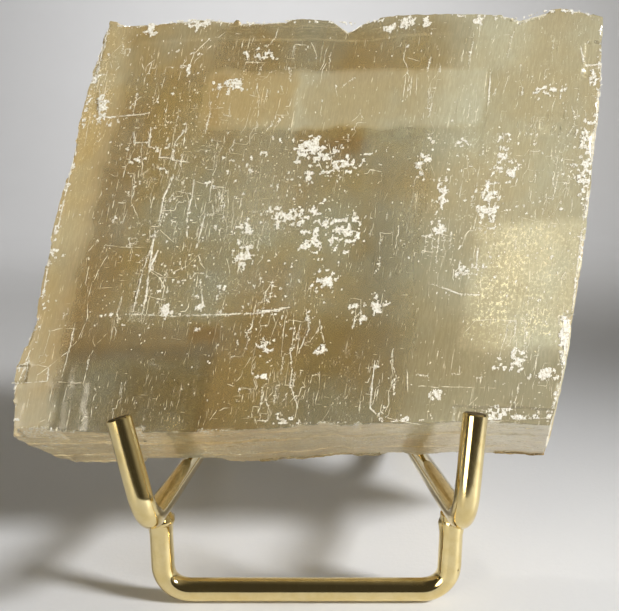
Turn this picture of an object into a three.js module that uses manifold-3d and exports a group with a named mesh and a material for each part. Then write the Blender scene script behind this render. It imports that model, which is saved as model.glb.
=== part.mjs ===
// Raw calcite on a wire easel: a cleavage slab of honey calcite standing on edge, leaning back in a
// stand bent and welded from round rod.
// Millimetres, +Z up, +X to the right as seen from the front, +Y to the back.
import * as THREE from 'three';
import { mergeVertices } from 'three/addons/utils/BufferGeometryUtils.js';
import Module from 'manifold-3d';

const wasm = await Module();
wasm.setup();

// ---------------------------------------------------------------- driving dimensions
// The stand is laid out from the point on the table under the middle of the front foot.
const ROD = 4.76; // rod diameter, 3/16 inch
const ROD_SIDES = 16;
const BEND_RADIUS = 5.7; // to the rod's centre line
const BEND_STEPS = 6;
const GAP = 0.3; // kept between pieces that touch
const CUT_MARGIN = 0.05; // added to the gap where one rod is cut round another
const RAIL_RUN_ON = 10; // how far a rail's line is carried past the rear bar for cutting
const FOOT_HALF_WIDTH = 29.35; // leg centre line at the table
const RAIL_HALF_WIDTH = 29.55; // rail centre line
const RAIL_HEIGHT = 20.76; // rail centre line above the front foot
const RAIL_FALL = 10; // degrees, down to the back
const HOOK_REACH = 12.2; // hook corner, ahead of the front foot
const LEFT_TIP = { x: -34.9, z: 42.5 }; // centre of each hook's cut end
const RIGHT_TIP = { x: 31.6, z: 43.3 };
const REAR_BAR_OVERHANG = 4;
const BACKREST_CONTACT = 70.9; // up the slab's back, where the backrest's top bar meets it
const BACKREST_LEFT = -22.8; // leg centre lines above the knees
const BACKREST_RIGHT = 18.8;
const BACKREST_KNEE = 34; // height above the rails where the legs start to spread

// The slab has a frame of its own: x along its lower edge, z up its face, y into its thickness.
const SLAB_CORNER = { x: -63.27, y: 12, z: 32.41 }; // front lower left corner
const SLAB_LEAN = 19.35; // degrees, top to the back
const SLAB_ROLL = 1.15; // degrees, right end up
const SLAB_THICKNESS = 28.2;
const CLEAVAGE_RUN = 0.218; // sideways shift of the cleavage faces per mm of thickness
const CLEAVAGE_DROP = 0.269; // downward shift of the same faces
const LEDGE_DEPTH = 0.45; // one thin cleavage sheet on the front face
const BACK_LEDGE_DEPTH = 0.9;

const GOLD = { color: 0xd9b45c, roughness: 0.14, metalness: 1 };
const CALCITE = { color: 0xb8a679, roughness: 0.3, metalness: 0, transparent: true, opacity: 0.85 };

const radius = ROD / 2;
const fall = THREE.MathUtils.degToRad(RAIL_FALL);
const lean = THREE.MathUtils.degToRad(SLAB_LEAN);
const roll = THREE.MathUtils.degToRad(SLAB_ROLL);
const rearBarY = (RAIL_HEIGHT - radius) / Math.tan(fall);

// ---------------------------------------------------------------- solids
function toSolid(geometry) {
  const bare = geometry.clone();
  bare.deleteAttribute('normal');
  bare.deleteAttribute('uv');
  const merged = mergeVertices(bare, 1e-4);
  return new wasm.Manifold(
    new wasm.Mesh({
      numProp: 3,
      vertProperties: new Float32Array(merged.attributes.position.array),
      triVerts: new Uint32Array(merged.index.array),
    }),
  );
}

function toGeometry(solid) {
  const mesh = solid.getMesh();
  const geometry = new THREE.BufferGeometry();
  geometry.setAttribute('position', new THREE.BufferAttribute(mesh.vertProperties, 3));
  geometry.setIndex(new THREE.BufferAttribute(mesh.triVerts, 1));
  geometry.computeVertexNormals();
  return geometry;
}

function piece(name, solid, finish) {
  const mesh = new THREE.Mesh(toGeometry(solid), new THREE.MeshStandardMaterial(finish));
  mesh.name = name;
  return mesh;
}

// ---------------------------------------------------------------- rod
// A rod's centre line: straight runs between corners, each corner rounded to the bend radius.
class RodRoute extends THREE.Curve {
  constructor(corners, bendRadius = BEND_RADIUS) {
    super();
    const ends = [corners[0], corners[corners.length - 1]];
    this.points = [ends[0].clone()];
    this.tangents = [corners[1].clone().sub(ends[0]).normalize()];
    for (let i = 1; i < corners.length - 1; i += 1) {
      this.addBend(corners[i - 1], corners[i], corners[i + 1], bendRadius);
    }
    this.points.push(ends[1].clone());
    this.tangents.push(ends[1].clone().sub(corners[corners.length - 2]).normalize());
  }

  addBend(before, corner, after, bendRadius) {
    const into = corner.clone().sub(before).normalize();
    const out = after.clone().sub(corner).normalize();
    const turn = into.angleTo(out);
    const inward = out.clone().sub(into).normalize();
    const centre = corner.clone().addScaledVector(inward, bendRadius / Math.cos(turn / 2));
    const axis = into.clone().cross(out).normalize();
    const start = corner.clone().addScaledVector(into, -bendRadius * Math.tan(turn / 2)).sub(centre);
    for (let step = 0; step <= BEND_STEPS; step += 1) {
      const angle = (turn * step) / BEND_STEPS;
      this.points.push(start.clone().applyAxisAngle(axis, angle).add(centre));
      this.tangents.push(into.clone().applyAxisAngle(axis, angle));
    }
  }

  get steps() {
    return this.points.length - 1;
  }

  getPoint(u, target = new THREE.Vector3()) {
    return target.copy(this.points[Math.round(u * this.steps)]);
  }

  getPointAt(u, target) {
    return this.getPoint(u, target);
  }

  getTangentAt(u, target = new THREE.Vector3()) {
    return target.copy(this.tangents[Math.round(u * this.steps)]);
  }
}

// The section's flats stand one radius off the centre line.
function rodSection(flatRadius) {
  const cornerRadius = flatRadius / Math.cos(Math.PI / ROD_SIDES);
  const section = new THREE.Shape();
  for (let side = 0; side < ROD_SIDES; side += 1) {
    const angle = ((side + 0.5) * 2 * Math.PI) / ROD_SIDES;
    const x = cornerRadius * Math.cos(angle);
    const y = cornerRadius * Math.sin(angle);
    if (side === 0) section.moveTo(x, y);
    else section.lineTo(x, y);
  }
  section.closePath();
  return section;
}

function rod(corners, flatRadius = radius) {
  const route = new RodRoute(corners);
  const options = { steps: route.steps, extrudePath: route, bevelEnabled: false };
  return toSolid(new THREE.ExtrudeGeometry(rodSection(flatRadius), options));
}

const point = (x, y, z) => new THREE.Vector3(x, y, z);
const railHeightAt = (y) => RAIL_HEIGHT - y * Math.tan(fall);

// Room for a rod and its gap, cut from what is welded to it.
const clearance = (corners) => rod(corners, radius + GAP + CUT_MARGIN);

function railLine(x) {
  return [rearBarY + RAIL_RUN_ON, -HOOK_REACH].map((y) => point(x, y, railHeightAt(y)));
}

// ---------------------------------------------------------------- stand
function frontFoot() {
  const corners = [
    point(-RAIL_HALF_WIDTH, 0, RAIL_HEIGHT),
    point(-FOOT_HALF_WIDTH, 0, radius),
    point(FOOT_HALF_WIDTH, 0, radius),
    point(RAIL_HALF_WIDTH, 0, RAIL_HEIGHT),
  ];
  return rod(corners)
    .subtract(clearance(railLine(-RAIL_HALF_WIDTH)))
    .subtract(clearance(railLine(RAIL_HALF_WIDTH)));
}

function rearBarLine() {
  const reach = RAIL_HALF_WIDTH + REAR_BAR_OVERHANG;
  return [point(-reach, rearBarY, radius), point(reach, rearBarY, radius)];
}

// One arm: a rail running down to the rear bar, bent up at the front into a hook.
function arm(railX, tip) {
  const tipRun = (tip.z - railHeightAt(-HOOK_REACH)) * Math.tan(fall);
  const corners = [
    point(railX, rearBarY, radius),
    point(railX, -HOOK_REACH, railHeightAt(-HOOK_REACH)),
    point(tip.x, -HOOK_REACH + tipRun, tip.z),
  ];
  return rod(corners).subtract(clearance(rearBarLine()));
}

// The backrest: an inverted U square to the rails. Its top bar meets the slab's back, and below the
// knees its legs spread to stand on the rails.
function backrest() {
  const behind = SLAB_THICKNESS + radius + GAP;
  const topY = SLAB_CORNER.y + BACKREST_CONTACT * Math.sin(lean) + behind * Math.cos(lean);
  const topZ = SLAB_CORNER.z + BACKREST_CONTACT * Math.cos(lean) - behind * Math.sin(lean);
  const rise = (topZ - railHeightAt(topY)) * Math.cos(fall);
  const onLeg = (x, down) => point(x, topY - down * Math.sin(fall), topZ - down * Math.cos(fall));
  const corners = [
    onLeg(-RAIL_HALF_WIDTH, rise),
    onLeg(BACKREST_LEFT, rise - BACKREST_KNEE),
    onLeg(BACKREST_LEFT, 0),
    onLeg(BACKREST_RIGHT, 0),
    onLeg(BACKREST_RIGHT, rise - BACKREST_KNEE),
    onLeg(RAIL_HALF_WIDTH, rise),
  ];
  return rod(corners)
    .subtract(clearance(railLine(-RAIL_HALF_WIDTH)))
    .subtract(clearance(railLine(RAIL_HALF_WIDTH)));
}

// ---------------------------------------------------------------- slab
// The front face's outline, anticlockwise from the lower left corner: four broken cleavage edges.
const LOWER_EDGE = [
  [-0.2, -0.3], [21, -0.6], [42, -1.1], [53, -0.6], [64, 0], [94, 0], [105, -0.3],
];
const RIGHT_EDGE = [
  [115.6, -1], [117.4, 4.4], [119.6, 11.5], [122, 22.2], [124.3, 32.8], [125.9, 39.3], [128.9, 57],
  [131.7, 73.7], [133.1, 83.6],
];
const UPPER_EDGE = [
  [133.7, 92], [131.5, 92.9], [128.8, 93.8], [123.9, 94.3], [119.7, 94], [114.5, 92.4], [107.4, 93.2],
  [96.5, 93.5], [86.3, 93.4], [78.2, 92], [71.7, 92.3], [65.9, 92.8], [47, 93], [40.5, 93.6],
  [32.4, 93], [24.3, 92.4],
];
const LEFT_EDGE = [
  [19.7, 93.3], [18.1, 89.1], [16, 81.6], [14.3, 74.4], [12.7, 66.6], [11, 58.2], [9, 50.8],
  [7.2, 41.9], [5.7, 33], [4.6, 24], [2.2, 18.2], [0.4, 13.5], [-0.2, 9],
];

// Cleavage sheets from front to back: where each one starts, and how far its edges stand in (+) or
// out (-) from the sheared outline.
const SHEETS = [
  { start: 0, lower: 0, right: 0, upper: 0, left: 0 },
  { start: 4.2, lower: 0.35, right: -0.5, upper: 0.5, left: 0.3 },
  { start: 9.6, lower: -0.3, right: 0.2, upper: -0.2, left: -0.4 },
  { start: 14.8, lower: 0.1, right: -0.6, upper: 0.7, left: 0.5 },
  { start: 21.4, lower: -0.25, right: 0.4, upper: 0.1, left: -0.2 },
];
const SHEET_OVERLAP = 0.05;
const EDGE_ROUGHNESS = 0.9; // how far a deeper sheet's outline wanders
const LEFT_HEEL_RUN = -0.07; // the lower left end is broken across, not cleaved
const LEFT_HEEL_TOP = 24;
const LEFT_HEEL_END = 40;

// The sideways shift per mm of thickness at a place on the outline.
function runAt(x, z) {
  const heel = THREE.MathUtils.clamp(1 - z / LEFT_HEEL_TOP, 0, 1);
  const towardLeft = THREE.MathUtils.clamp(1 - x / LEFT_HEEL_END, 0, 1);
  return THREE.MathUtils.lerp(CLEAVAGE_RUN, LEFT_HEEL_RUN, heel * towardLeft);
}

function shear(geometry) {
  const position = geometry.attributes.position;
  for (let i = 0; i < position.count; i += 1) {
    const x = position.getX(i);
    const y = position.getY(i);
    const z = position.getZ(i);
    position.setXYZ(i, x + runAt(x, z) * y, y, z - CLEAVAGE_DROP * y);
  }
  return geometry;
}

// A flat outline of [x, z] corners, given thickness between two depths of the slab.
function prism(corners, front, back) {
  const outline = corners.map(([x, z]) => new THREE.Vector2(x, -z));
  const geometry = new THREE.ExtrudeGeometry(new THREE.Shape(outline), {
    depth: back - front,
    bevelEnabled: false,
  });
  return geometry.rotateX(-Math.PI / 2).translate(0, front, 0);
}

// A repeatable spread of values between 0 and 1.
function scatter(seed) {
  const value = Math.sin(seed * 12.9898) * 43758.5453;
  return value - Math.floor(value);
}

function sheetOutline(sheet) {
  const roughness = sheet.start > 0 ? EDGE_ROUGHNESS : 0;
  const rough = (seed) => roughness * (scatter(sheet.start + seed) - 0.5);
  const moved = (edge, dx, dz) => edge.map(([x, z]) => [x + dx + rough(x + z), z + dz + rough(x - z)]);
  return [
    ...moved(LOWER_EDGE, 0, sheet.lower),
    ...moved(RIGHT_EDGE, -sheet.right, 0),
    ...moved(UPPER_EDGE, 0, -sheet.upper),
    ...moved(LEFT_EDGE, sheet.left, 0),
  ];
}

function cleavedBlock() {
  return SHEETS.map((sheet, i) => {
    const front = i === 0 ? 0 : sheet.start - SHEET_OVERLAP;
    const back = i + 1 < SHEETS.length ? SHEETS[i + 1].start : SLAB_THICKNESS;
    return toSolid(shear(prism(sheetOutline(sheet), front, back)));
  }).reduce((block, sheet) => block.add(sheet));
}

// Where the top cleavage sheet is missing from the front face: its broken border runs down the left
// side, in small rhomb-shaped stairs, and turns along the bottom.
const MISSING_SHEET = [
  [-12, -16], [64, -16], [63.4, 23.6], [25.4, 24.3], [27.2, 32], [29, 40.1], [30.4, 50.4], [32.6, 59.6],
  [32.2, 61], [29.2, 61.6], [28.8, 62.8], [25.4, 63.3], [25.3, 66.6], [27.6, 68], [29.1, 70.3],
  [17.3, 70.1], [16.9, 80.1], [18.6, 88], [19, 100], [-12, 100],
];
const FRONT_LEDGES = [
  { outline: MISSING_SHEET, depth: LEDGE_DEPTH },
  { outline: [[-12, 10.2], [2.5, 10.2], [3.2, 13.8], [-12, 13.8]], depth: 2 * LEDGE_DEPTH },
  { outline: [[-12, -16], [15.6, -16], [15.6, 9.9], [-12, 9.9]], depth: 1.8 * LEDGE_DEPTH },
  { outline: [[129.3, 86], [128.4, 77.6], [142, 77.6], [142, 86]], depth: 2 * LEDGE_DEPTH },
  { outline: [[94, -10], [95.4, 3.4], [118, 2.2], [124, -10]], depth: LEDGE_DEPTH },
];
const BACK_LEDGES = [
  { outline: [[30, 76], [100, 75], [103, 92], [34, 93]], depth: BACK_LEDGE_DEPTH },
  { outline: [[52, 80], [78, 80], [81, 92], [55, 93]], depth: 2 * BACK_LEDGE_DEPTH },
  { outline: [[108, -16], [126, -16], [146, 92], [127, 92]], depth: 1.4 * BACK_LEDGE_DEPTH },
  { outline: [[-4, 8], [20, 7], [24, 30], [2, 31]], depth: BACK_LEDGE_DEPTH },
  { outline: [[50, -16], [80, -16], [83, 2], [54, 3]], depth: BACK_LEDGE_DEPTH },
];

const CUTTER_OVERSHOOT = 3; // how far a ledge's cutter stands out of the face

function cutLedges(block) {
  const front = FRONT_LEDGES.map(({ outline, depth }) => {
    return toSolid(prism(outline, -CUTTER_OVERSHOOT, depth));
  });
  const back = BACK_LEDGES.map(({ outline, depth }) => {
    return toSolid(prism(outline, SLAB_THICKNESS - depth, SLAB_THICKNESS + CUTTER_OVERSHOOT));
  });
  return [...front, ...back].reduce((rest, cutter) => rest.subtract(cutter), block);
}

// The long scar low on the right edge, the two sides of the notch in the upper edge, and the broken
// lower left corner.
const LARGE_FLAKES = [
  { at: [121, 0, 16], along: [0.2, 0, 1], outward: [0.8, -0.6, 0], length: 14, depth: 1.2 },
  { at: [73.4, 0, 92], along: [1, 0, -0.85], outward: [0.6, -0.5, 0.7], length: 6, depth: 1.3 },
  { at: [77.2, 0, 92], along: [1, 0, 0.8], outward: [-0.5, -0.5, 0.7], length: 6, depth: 1.1 },
  { at: [-1, 12, -4.5], along: [0, 1, -0.2], outward: [-0.8, 0, -0.6], length: 60, depth: 1.8 },
  { at: [0.5, 25, -7.2], along: [0, 1, -0.2], outward: [-0.6, 0.3, -0.7], length: 60, depth: 2.2 },
];

const FLAKE_CUTTER = { height: 8, width: 14 };
const FLAKE_LENGTH = { least: 2, spread: 5 };
const FLAKE_DEPTH = { least: 0.25, spread: 0.6 };
const FLAKE_SKEW = 0.3; // radians, along the edge
const FLAKE_TILT = 0.5; // least share of the face's own direction in a flake's

// A flake knocked off an edge: a box whose inner side shaves the edge at the given depth.
function flake(at, along, outward, length, depth) {
  const side = along.clone().cross(outward).normalize();
  const box = new THREE.BoxGeometry(length, FLAKE_CUTTER.height, FLAKE_CUTTER.width);
  box.translate(0, FLAKE_CUTTER.height / 2 - depth, 0);
  const place = new THREE.Matrix4().makeBasis(along, outward, side).setPosition(at);
  return toSolid(box.applyMatrix4(place));
}

// Flakes along one edge of the front (depth 0) or back outline, skewed a little so none is square.
function edgeFlakes(edge, depthIntoSlab, spread, count) {
  const points = edge.map(([x, z]) => {
    return point(x + runAt(x, z) * depthIntoSlab, depthIntoSlab, z - CLEAVAGE_DROP * depthIntoSlab);
  });
  const facing = depthIntoSlab > 0 ? 1 : -1;
  return Array.from({ length: count }, (_, i) => {
    const seed = spread + i;
    const place = ((i + 0.2 + 0.6 * scatter(seed)) / count) * (points.length - 1);
    const from = Math.min(Math.floor(place), points.length - 2);
    const at = points[from].clone().lerp(points[from + 1], place - from);
    const along = points[from + 1].clone().sub(points[from]).normalize();
    const outOfFace = point(0, facing, 0);
    const outOfEdge = point(along.z, 0, -along.x);
    const outward = outOfEdge.addScaledVector(outOfFace, FLAKE_TILT + scatter(seed + 0.3)).normalize();
    along.applyAxisAngle(outOfFace, FLAKE_SKEW * (scatter(seed + 0.6) - 0.5));
    outward.addScaledVector(along, -outward.dot(along)).normalize();
    const length = FLAKE_LENGTH.least + FLAKE_LENGTH.spread * scatter(seed + 0.9);
    const depth = FLAKE_DEPTH.least + FLAKE_DEPTH.spread * scatter(seed + 1.7);
    return flake(at, along, outward, length, depth);
  });
}

function breakEdges(block) {
  const cutters = [
    ...edgeFlakes(LOWER_EDGE, 0, 3, 8),
    ...edgeFlakes(RIGHT_EDGE, 0, 17, 9),
    ...edgeFlakes(UPPER_EDGE, 0, 31, 9),
    ...edgeFlakes(LEFT_EDGE, 0, 53, 9),
    ...edgeFlakes(RIGHT_EDGE, SLAB_THICKNESS, 71, 7),
    ...edgeFlakes(UPPER_EDGE, SLAB_THICKNESS, 83, 7),
    ...edgeFlakes(LEFT_EDGE, SLAB_THICKNESS, 97, 7),
    ...LARGE_FLAKES.map(({ at, along, outward, length, depth }) => {
      const out = point(...outward).normalize();
      const run = point(...along);
      run.addScaledVector(out, -run.dot(out)).normalize();
      return flake(point(...at), run, out, length, depth);
    }),
  ];
  return cutters.reduce((rest, cutter) => rest.subtract(cutter), block);
}

const WORN_PATCH = { middle: 36, width: 20, length: 30, height: 20 };

// The worn lower edge that the slab stands on: cut parallel to the rails, a gap above them.
function wearRestingEdge(block, place) {
  const { middle, width, length, height } = WORN_PATCH;
  const z = railHeightAt(middle) + (radius + GAP) / Math.cos(fall);
  const under = new THREE.BoxGeometry(width, length, height).translate(0, 0, -height / 2).rotateX(-fall);
  const toSlab = place.clone().invert();
  return [-RAIL_HALF_WIDTH, RAIL_HALF_WIDTH].reduce((rest, x) => {
    const cutter = under.clone().translate(x, middle, z).applyMatrix4(toSlab);
    return rest.subtract(toSolid(cutter));
  }, block);
}

function slab() {
  const holder = new THREE.Object3D();
  holder.position.set(SLAB_CORNER.x, SLAB_CORNER.y, SLAB_CORNER.z);
  holder.rotation.set(-lean, -roll, 0);
  holder.updateMatrix();
  const solid = wearRestingEdge(breakEdges(cutLedges(cleavedBlock())), holder.matrix);
  const mesh = piece('calcite_slab', solid, CALCITE);
  mesh.position.copy(holder.position);
  mesh.rotation.copy(holder.rotation);
  return mesh;
}

// ---------------------------------------------------------------- assembly
const object = new THREE.Group();
object.name = 'raw_calcite';
object.add(
  slab(),
  piece('front_foot', frontFoot(), GOLD),
  piece('left_arm', arm(-RAIL_HALF_WIDTH, LEFT_TIP), GOLD),
  piece('right_arm', arm(RAIL_HALF_WIDTH, RIGHT_TIP), GOLD),
  piece('rear_bar', rod(rearBarLine()), GOLD),
  piece('backrest', backrest(), GOLD),
);

// The origin is on the table, under the middle of the whole object.
object.updateMatrixWorld(true);
const box = new THREE.Box3().setFromObject(object);
const centre = box.getCenter(new THREE.Vector3());
object.position.set(-centre.x, -centre.y, -box.min.z);

export default object;
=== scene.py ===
"""Raw honey calcite leaning in a wire easel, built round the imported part.

Lengths are millimetres. Those of the bumps, the stage, the lights and the camera are metres.
The stand's own frame has its origin on the table under the middle of the front foot. The slab's has x along
its lower edge, y into its thickness and z up its face.
"""

import math
from types import SimpleNamespace

import bpy
import numpy as np
from mathutils import Matrix, Vector

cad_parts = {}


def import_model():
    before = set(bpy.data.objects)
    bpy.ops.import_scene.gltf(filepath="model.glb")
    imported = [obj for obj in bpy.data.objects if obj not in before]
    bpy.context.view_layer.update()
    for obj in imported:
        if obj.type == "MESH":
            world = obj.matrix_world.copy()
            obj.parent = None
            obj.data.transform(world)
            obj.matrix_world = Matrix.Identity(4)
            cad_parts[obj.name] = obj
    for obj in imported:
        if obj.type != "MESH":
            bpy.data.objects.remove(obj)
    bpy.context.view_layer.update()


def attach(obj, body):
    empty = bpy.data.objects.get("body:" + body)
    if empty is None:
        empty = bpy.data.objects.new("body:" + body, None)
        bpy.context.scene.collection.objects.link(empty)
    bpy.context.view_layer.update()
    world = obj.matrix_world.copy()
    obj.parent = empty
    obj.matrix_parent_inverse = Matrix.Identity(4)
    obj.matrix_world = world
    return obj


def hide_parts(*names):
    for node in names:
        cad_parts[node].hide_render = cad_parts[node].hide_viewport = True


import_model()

MM = 0.001
SEED = 20

# ------------------------------------------------------------------ dimensions, as in the part
STAND_ORIGIN = Vector((-5.235, -46.45, 0.0))  # in the row frame
ROD_RADIUS = 2.38
BEND_RADIUS = 5.7
RAIL_FALL = math.radians(10)
RAIL_HEIGHT = 20.76
RAIL_X = 29.55
FOOT_X = 29.35
HOOK_REACH = 12.2
LEFT_TIP = (-34.9, 42.5)
RIGHT_TIP = (31.6, 43.3)
REAR_BAR_OVERHANG = 4.0
REAR_BAR_Y = (RAIL_HEIGHT - ROD_RADIUS) / math.tan(RAIL_FALL)
BACKREST_CONTACT = 70.9
BACKREST_LEFT = -22.8
BACKREST_RIGHT = 18.8
BACKREST_KNEE = 34.0
WELD = 0.75  # how much a weld thickens the rod's end
WELD_STEPS = (0.35, 0.7, 1.05, 1.4, 1.8, 2.2)  # rings that shape a weld, from the rod's end
WELD_PEAK = 1.6
WELD_SPREAD = 0.75
SUNK = 1.2  # how far a welded end goes into the rod it stands on
END_BEVEL = 0.3
END_DISH = 0.05
BEND_PINCH = 0.3  # how much thinner the rod is inside a bend
ROD_WAVE = 0.022

SLAB_CORNER = Vector((-63.27, 12.0, 32.41))
SLAB_LEAN = math.radians(19.35)
SLAB_ROLL = math.radians(1.15)
THICKNESS = 28.2
CLEAVAGE_RUN = 0.218
CLEAVAGE_DROP = 0.269
HEEL_RUN = -0.07
HEEL_TOP = 24.0
HEEL_END = 40.0
GAP = 0.3
SLANT = 0.2  # the slanted cleavage edge's x for each mm of z

slab_matrix = (
    Matrix.Translation((STAND_ORIGIN + SLAB_CORNER) * MM)
    @ Matrix.Rotation(-SLAB_LEAN, 4, "X")
    @ Matrix.Rotation(-SLAB_ROLL, 4, "Y")
)
CAMERA_AT = Vector((-0.004565, -0.19775, 0.0914))
CAMERA_TURN = Matrix.Rotation(math.radians(90 - 10.96), 4, "X")  # it looks 10.96 degrees down


# ------------------------------------------------------------------ noise
def hashed(*cells):
    """A repeatable value from 0 to 1 for each whole-number cell."""
    total = sum(np.asarray(c, float) * k for c, k in zip(cells, (12.9898, 78.233, 37.719, 4.581)))
    value = np.sin(total) * 43758.5453
    return value - np.floor(value)


def value_noise(points, seed=0):
    """Smooth noise from -1 to 1, one feature per unit, at points that are rows of the last axis."""
    cell = np.floor(points)
    part = points - cell
    part = part * part * (3 - 2 * part)
    total = 0
    for corner in np.ndindex(*(2,) * points.shape[-1]):
        share = np.prod(np.where(corner, part, 1 - part), axis=-1)
        total = total + share * hashed(*np.moveaxis(cell + corner, -1, 0), seed)
    return 2 * total - 1


def fractal(points, octaves=3, seed=0):
    return sum(value_noise(points * 2**k, seed + 7 * k) / 2**k for k in range(octaves))


def pair(x, z):
    return np.stack([x, z], -1)


def triple(x, y, z):
    return np.stack([x, y, z], -1)


def smooth_step(low, high, value):
    t = np.clip((value - low) / (high - low), 0, 1)
    return t * t * (3 - 2 * t)


def unit(v):
    return v / np.linalg.norm(v, axis=-1, keepdims=True)


# ------------------------------------------------------------------ meshes
FLIPPED = [0, 3, 2, 1]  # a quad's corners the other way round


def mesh_object(name, points, blocks, materials, matrix=Matrix.Identity(4), sharp=30, face_slots=None):
    """A mesh from points in millimetres of the frame that matrix places, and blocks of faces."""
    mesh = bpy.data.meshes.new(name)
    faces = [face for block in blocks for face in np.asarray(block).tolist()]
    mesh.from_pydata((np.asarray(points) * MM).tolist(), [], faces)
    for material in materials:
        mesh.materials.append(material)
    if face_slots is not None:
        mesh.polygons.foreach_set("material_index", face_slots)
    mesh.shade_smooth()
    mesh.set_sharp_from_angle(angle=math.radians(sharp))
    mesh.update()
    made = bpy.data.objects.new(name, mesh)
    bpy.context.scene.collection.objects.link(made)
    made.matrix_world = matrix
    return made


def belongs(piece, slot, *nodes):
    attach(piece, "root")
    if nodes:
        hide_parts(*nodes)
    return piece


def paint(piece, **amounts):
    for name, values in amounts.items():
        attribute = piece.data.attributes.new(name, "FLOAT", "POINT")
        attribute.data.foreach_set("value", np.asarray(values, np.float32))


def grid_faces(index):
    """The quads of a grid of point numbers."""
    return np.stack([index[:-1, :-1], index[:-1, 1:], index[1:, 1:], index[1:, :-1]], -1).reshape(-1, 4)


def grid_rim(index):
    return np.concatenate([index[0, :-1], index[:-1, -1], index[-1, :0:-1], index[:0:-1, 0]])


def band(before, loop):
    """The quads between closed loops of point numbers and the loops after them."""
    return np.stack([before, loop, np.roll(loop, -1, -1), np.roll(before, -1, -1)], -1).reshape(-1, 4)


# ------------------------------------------------------------------ shader nodes
class Value:
    """A node's output. Sums of values are Math nodes."""

    def __init__(self, nodes, socket):
        self.nodes = nodes
        self.socket = socket

    def __add__(self, other):
        return self.nodes.math("ADD", self, other)

    def __mul__(self, other):
        return self.nodes.math("MULTIPLY", self, other)

    def __sub__(self, other):
        return self.nodes.math("SUBTRACT", self, other)


class Nodes:
    """Short ways to write the nodes of one tree."""

    def __init__(self, tree):
        self.tree = tree

    def put(self, socket, value):
        if isinstance(value, Value):
            self.tree.links.new(value.socket, socket)
        elif value is not None:
            socket.default_value = value

    def node(self, kind, inputs, output=0, **settings):
        made = self.tree.nodes.new("ShaderNode" + kind)
        for name, value in settings.items():
            setattr(made, name, value)
        for name, value in inputs.items():
            self.put(made.inputs[name], value)
        return Value(self, made.outputs[output])

    def math(self, operation, a, b=None, clamp=False):
        return self.node("Math", {0: a, 1: b}, operation=operation, use_clamp=clamp)

    def larger(self, a, b):
        return self.math("MAXIMUM", a, b)

    def ramp(self, value, low, high, to_low=0.0, to_high=1.0):
        inputs = {"Value": value, "From Min": low, "From Max": high, "To Min": to_low, "To Max": to_high}
        return self.node("MapRange", inputs, interpolation_type="SMOOTHSTEP")

    def blend(self, share, a, b):
        return self.node("MixRGB", {"Fac": share, "Color1": a, "Color2": b})

    def attribute(self, name):
        return self.node("Attribute", {}, output=2, attribute_name=name)

    def vector(self, x, y, z):
        return self.node("CombineXYZ", {0: x, 1: y, 2: z})

    def split(self, vector):
        """The x, y and z of a vector."""
        return [Value(self, part) for part in self.node("SeparateXYZ", {0: vector}).socket.node.outputs]

    def noise(self, vector, scale, detail=2.0, roughness=0.55, distortion=0.0):
        inputs = {"Vector": vector, "Scale": scale, "Detail": detail, "Roughness": roughness}
        return self.node("TexNoise", {**inputs, "Distortion": distortion})

    def place(self):
        """The object's own coordinates in millimetres."""
        position = self.node("TexCoord", {}, output=3)
        return self.node("VectorMath", {0: position, "Scale": 1 / MM}, operation="SCALE")


class Shader(Nodes):
    """A Principled material."""

    def __init__(self, name):
        self.material = bpy.data.materials.new(name)
        self.material.use_nodes = True
        super().__init__(self.material.node_tree)
        self.tree.nodes.clear()
        self.output = self.tree.nodes.new("ShaderNodeOutputMaterial")
        self.bsdf = self.tree.nodes.new("ShaderNodeBsdfPrincipled")
        self.tree.links.new(self.bsdf.outputs[0], self.output.inputs["Surface"])

    def set(self, **values):
        for name, value in values.items():
            self.put(self.bsdf.inputs[name.replace("_", " ")], value)

    def bump(self, height, distance, strength):
        inputs = {"Height": height, "Distance": distance, "Strength": strength}
        self.set(Normal=self.node("Bump", inputs))


def colour(r, g, b):
    """A linear colour from sRGB values out of 255."""
    def linear(v):
        v /= 255
        return v / 12.92 if v <= 0.04045 else ((v + 0.055) / 1.055) ** 2.4
    return (linear(r), linear(g), linear(b), 1.0)


# ------------------------------------------------------------------ rod
def gold_material():
    s = Shader("polished_gold")
    place = s.place()
    wear = s.noise(place, 0.35, 3)
    fine = s.noise(place, 6.0, 2)
    s.set(Base_Color=s.blend(s.ramp(wear, 0.35, 0.7), colour(240, 221, 166), colour(230, 208, 148)))
    s.set(Metallic=1.0, Roughness=s.ramp(wear, 0.3, 0.75, 0.07, 0.13) + fine * 0.04)
    s.bump(wear * 0.6 + fine * 0.06, 0.0001, 0.25)
    return s.material


def cut_material():
    s = Shader("sawn_rod_end")
    saw = s.noise(s.place(), 3.0, 3)
    s.set(Base_Color=s.blend(saw, colour(96, 72, 40), colour(60, 44, 26)), Metallic=1.0)
    s.set(Roughness=s.ramp(saw, 0.3, 0.7, 0.3, 0.5))
    s.bump(saw, 0.0003, 0.5)
    return s.material


def rail_height(y):
    return RAIL_HEIGHT - y * math.tan(RAIL_FALL)


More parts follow.
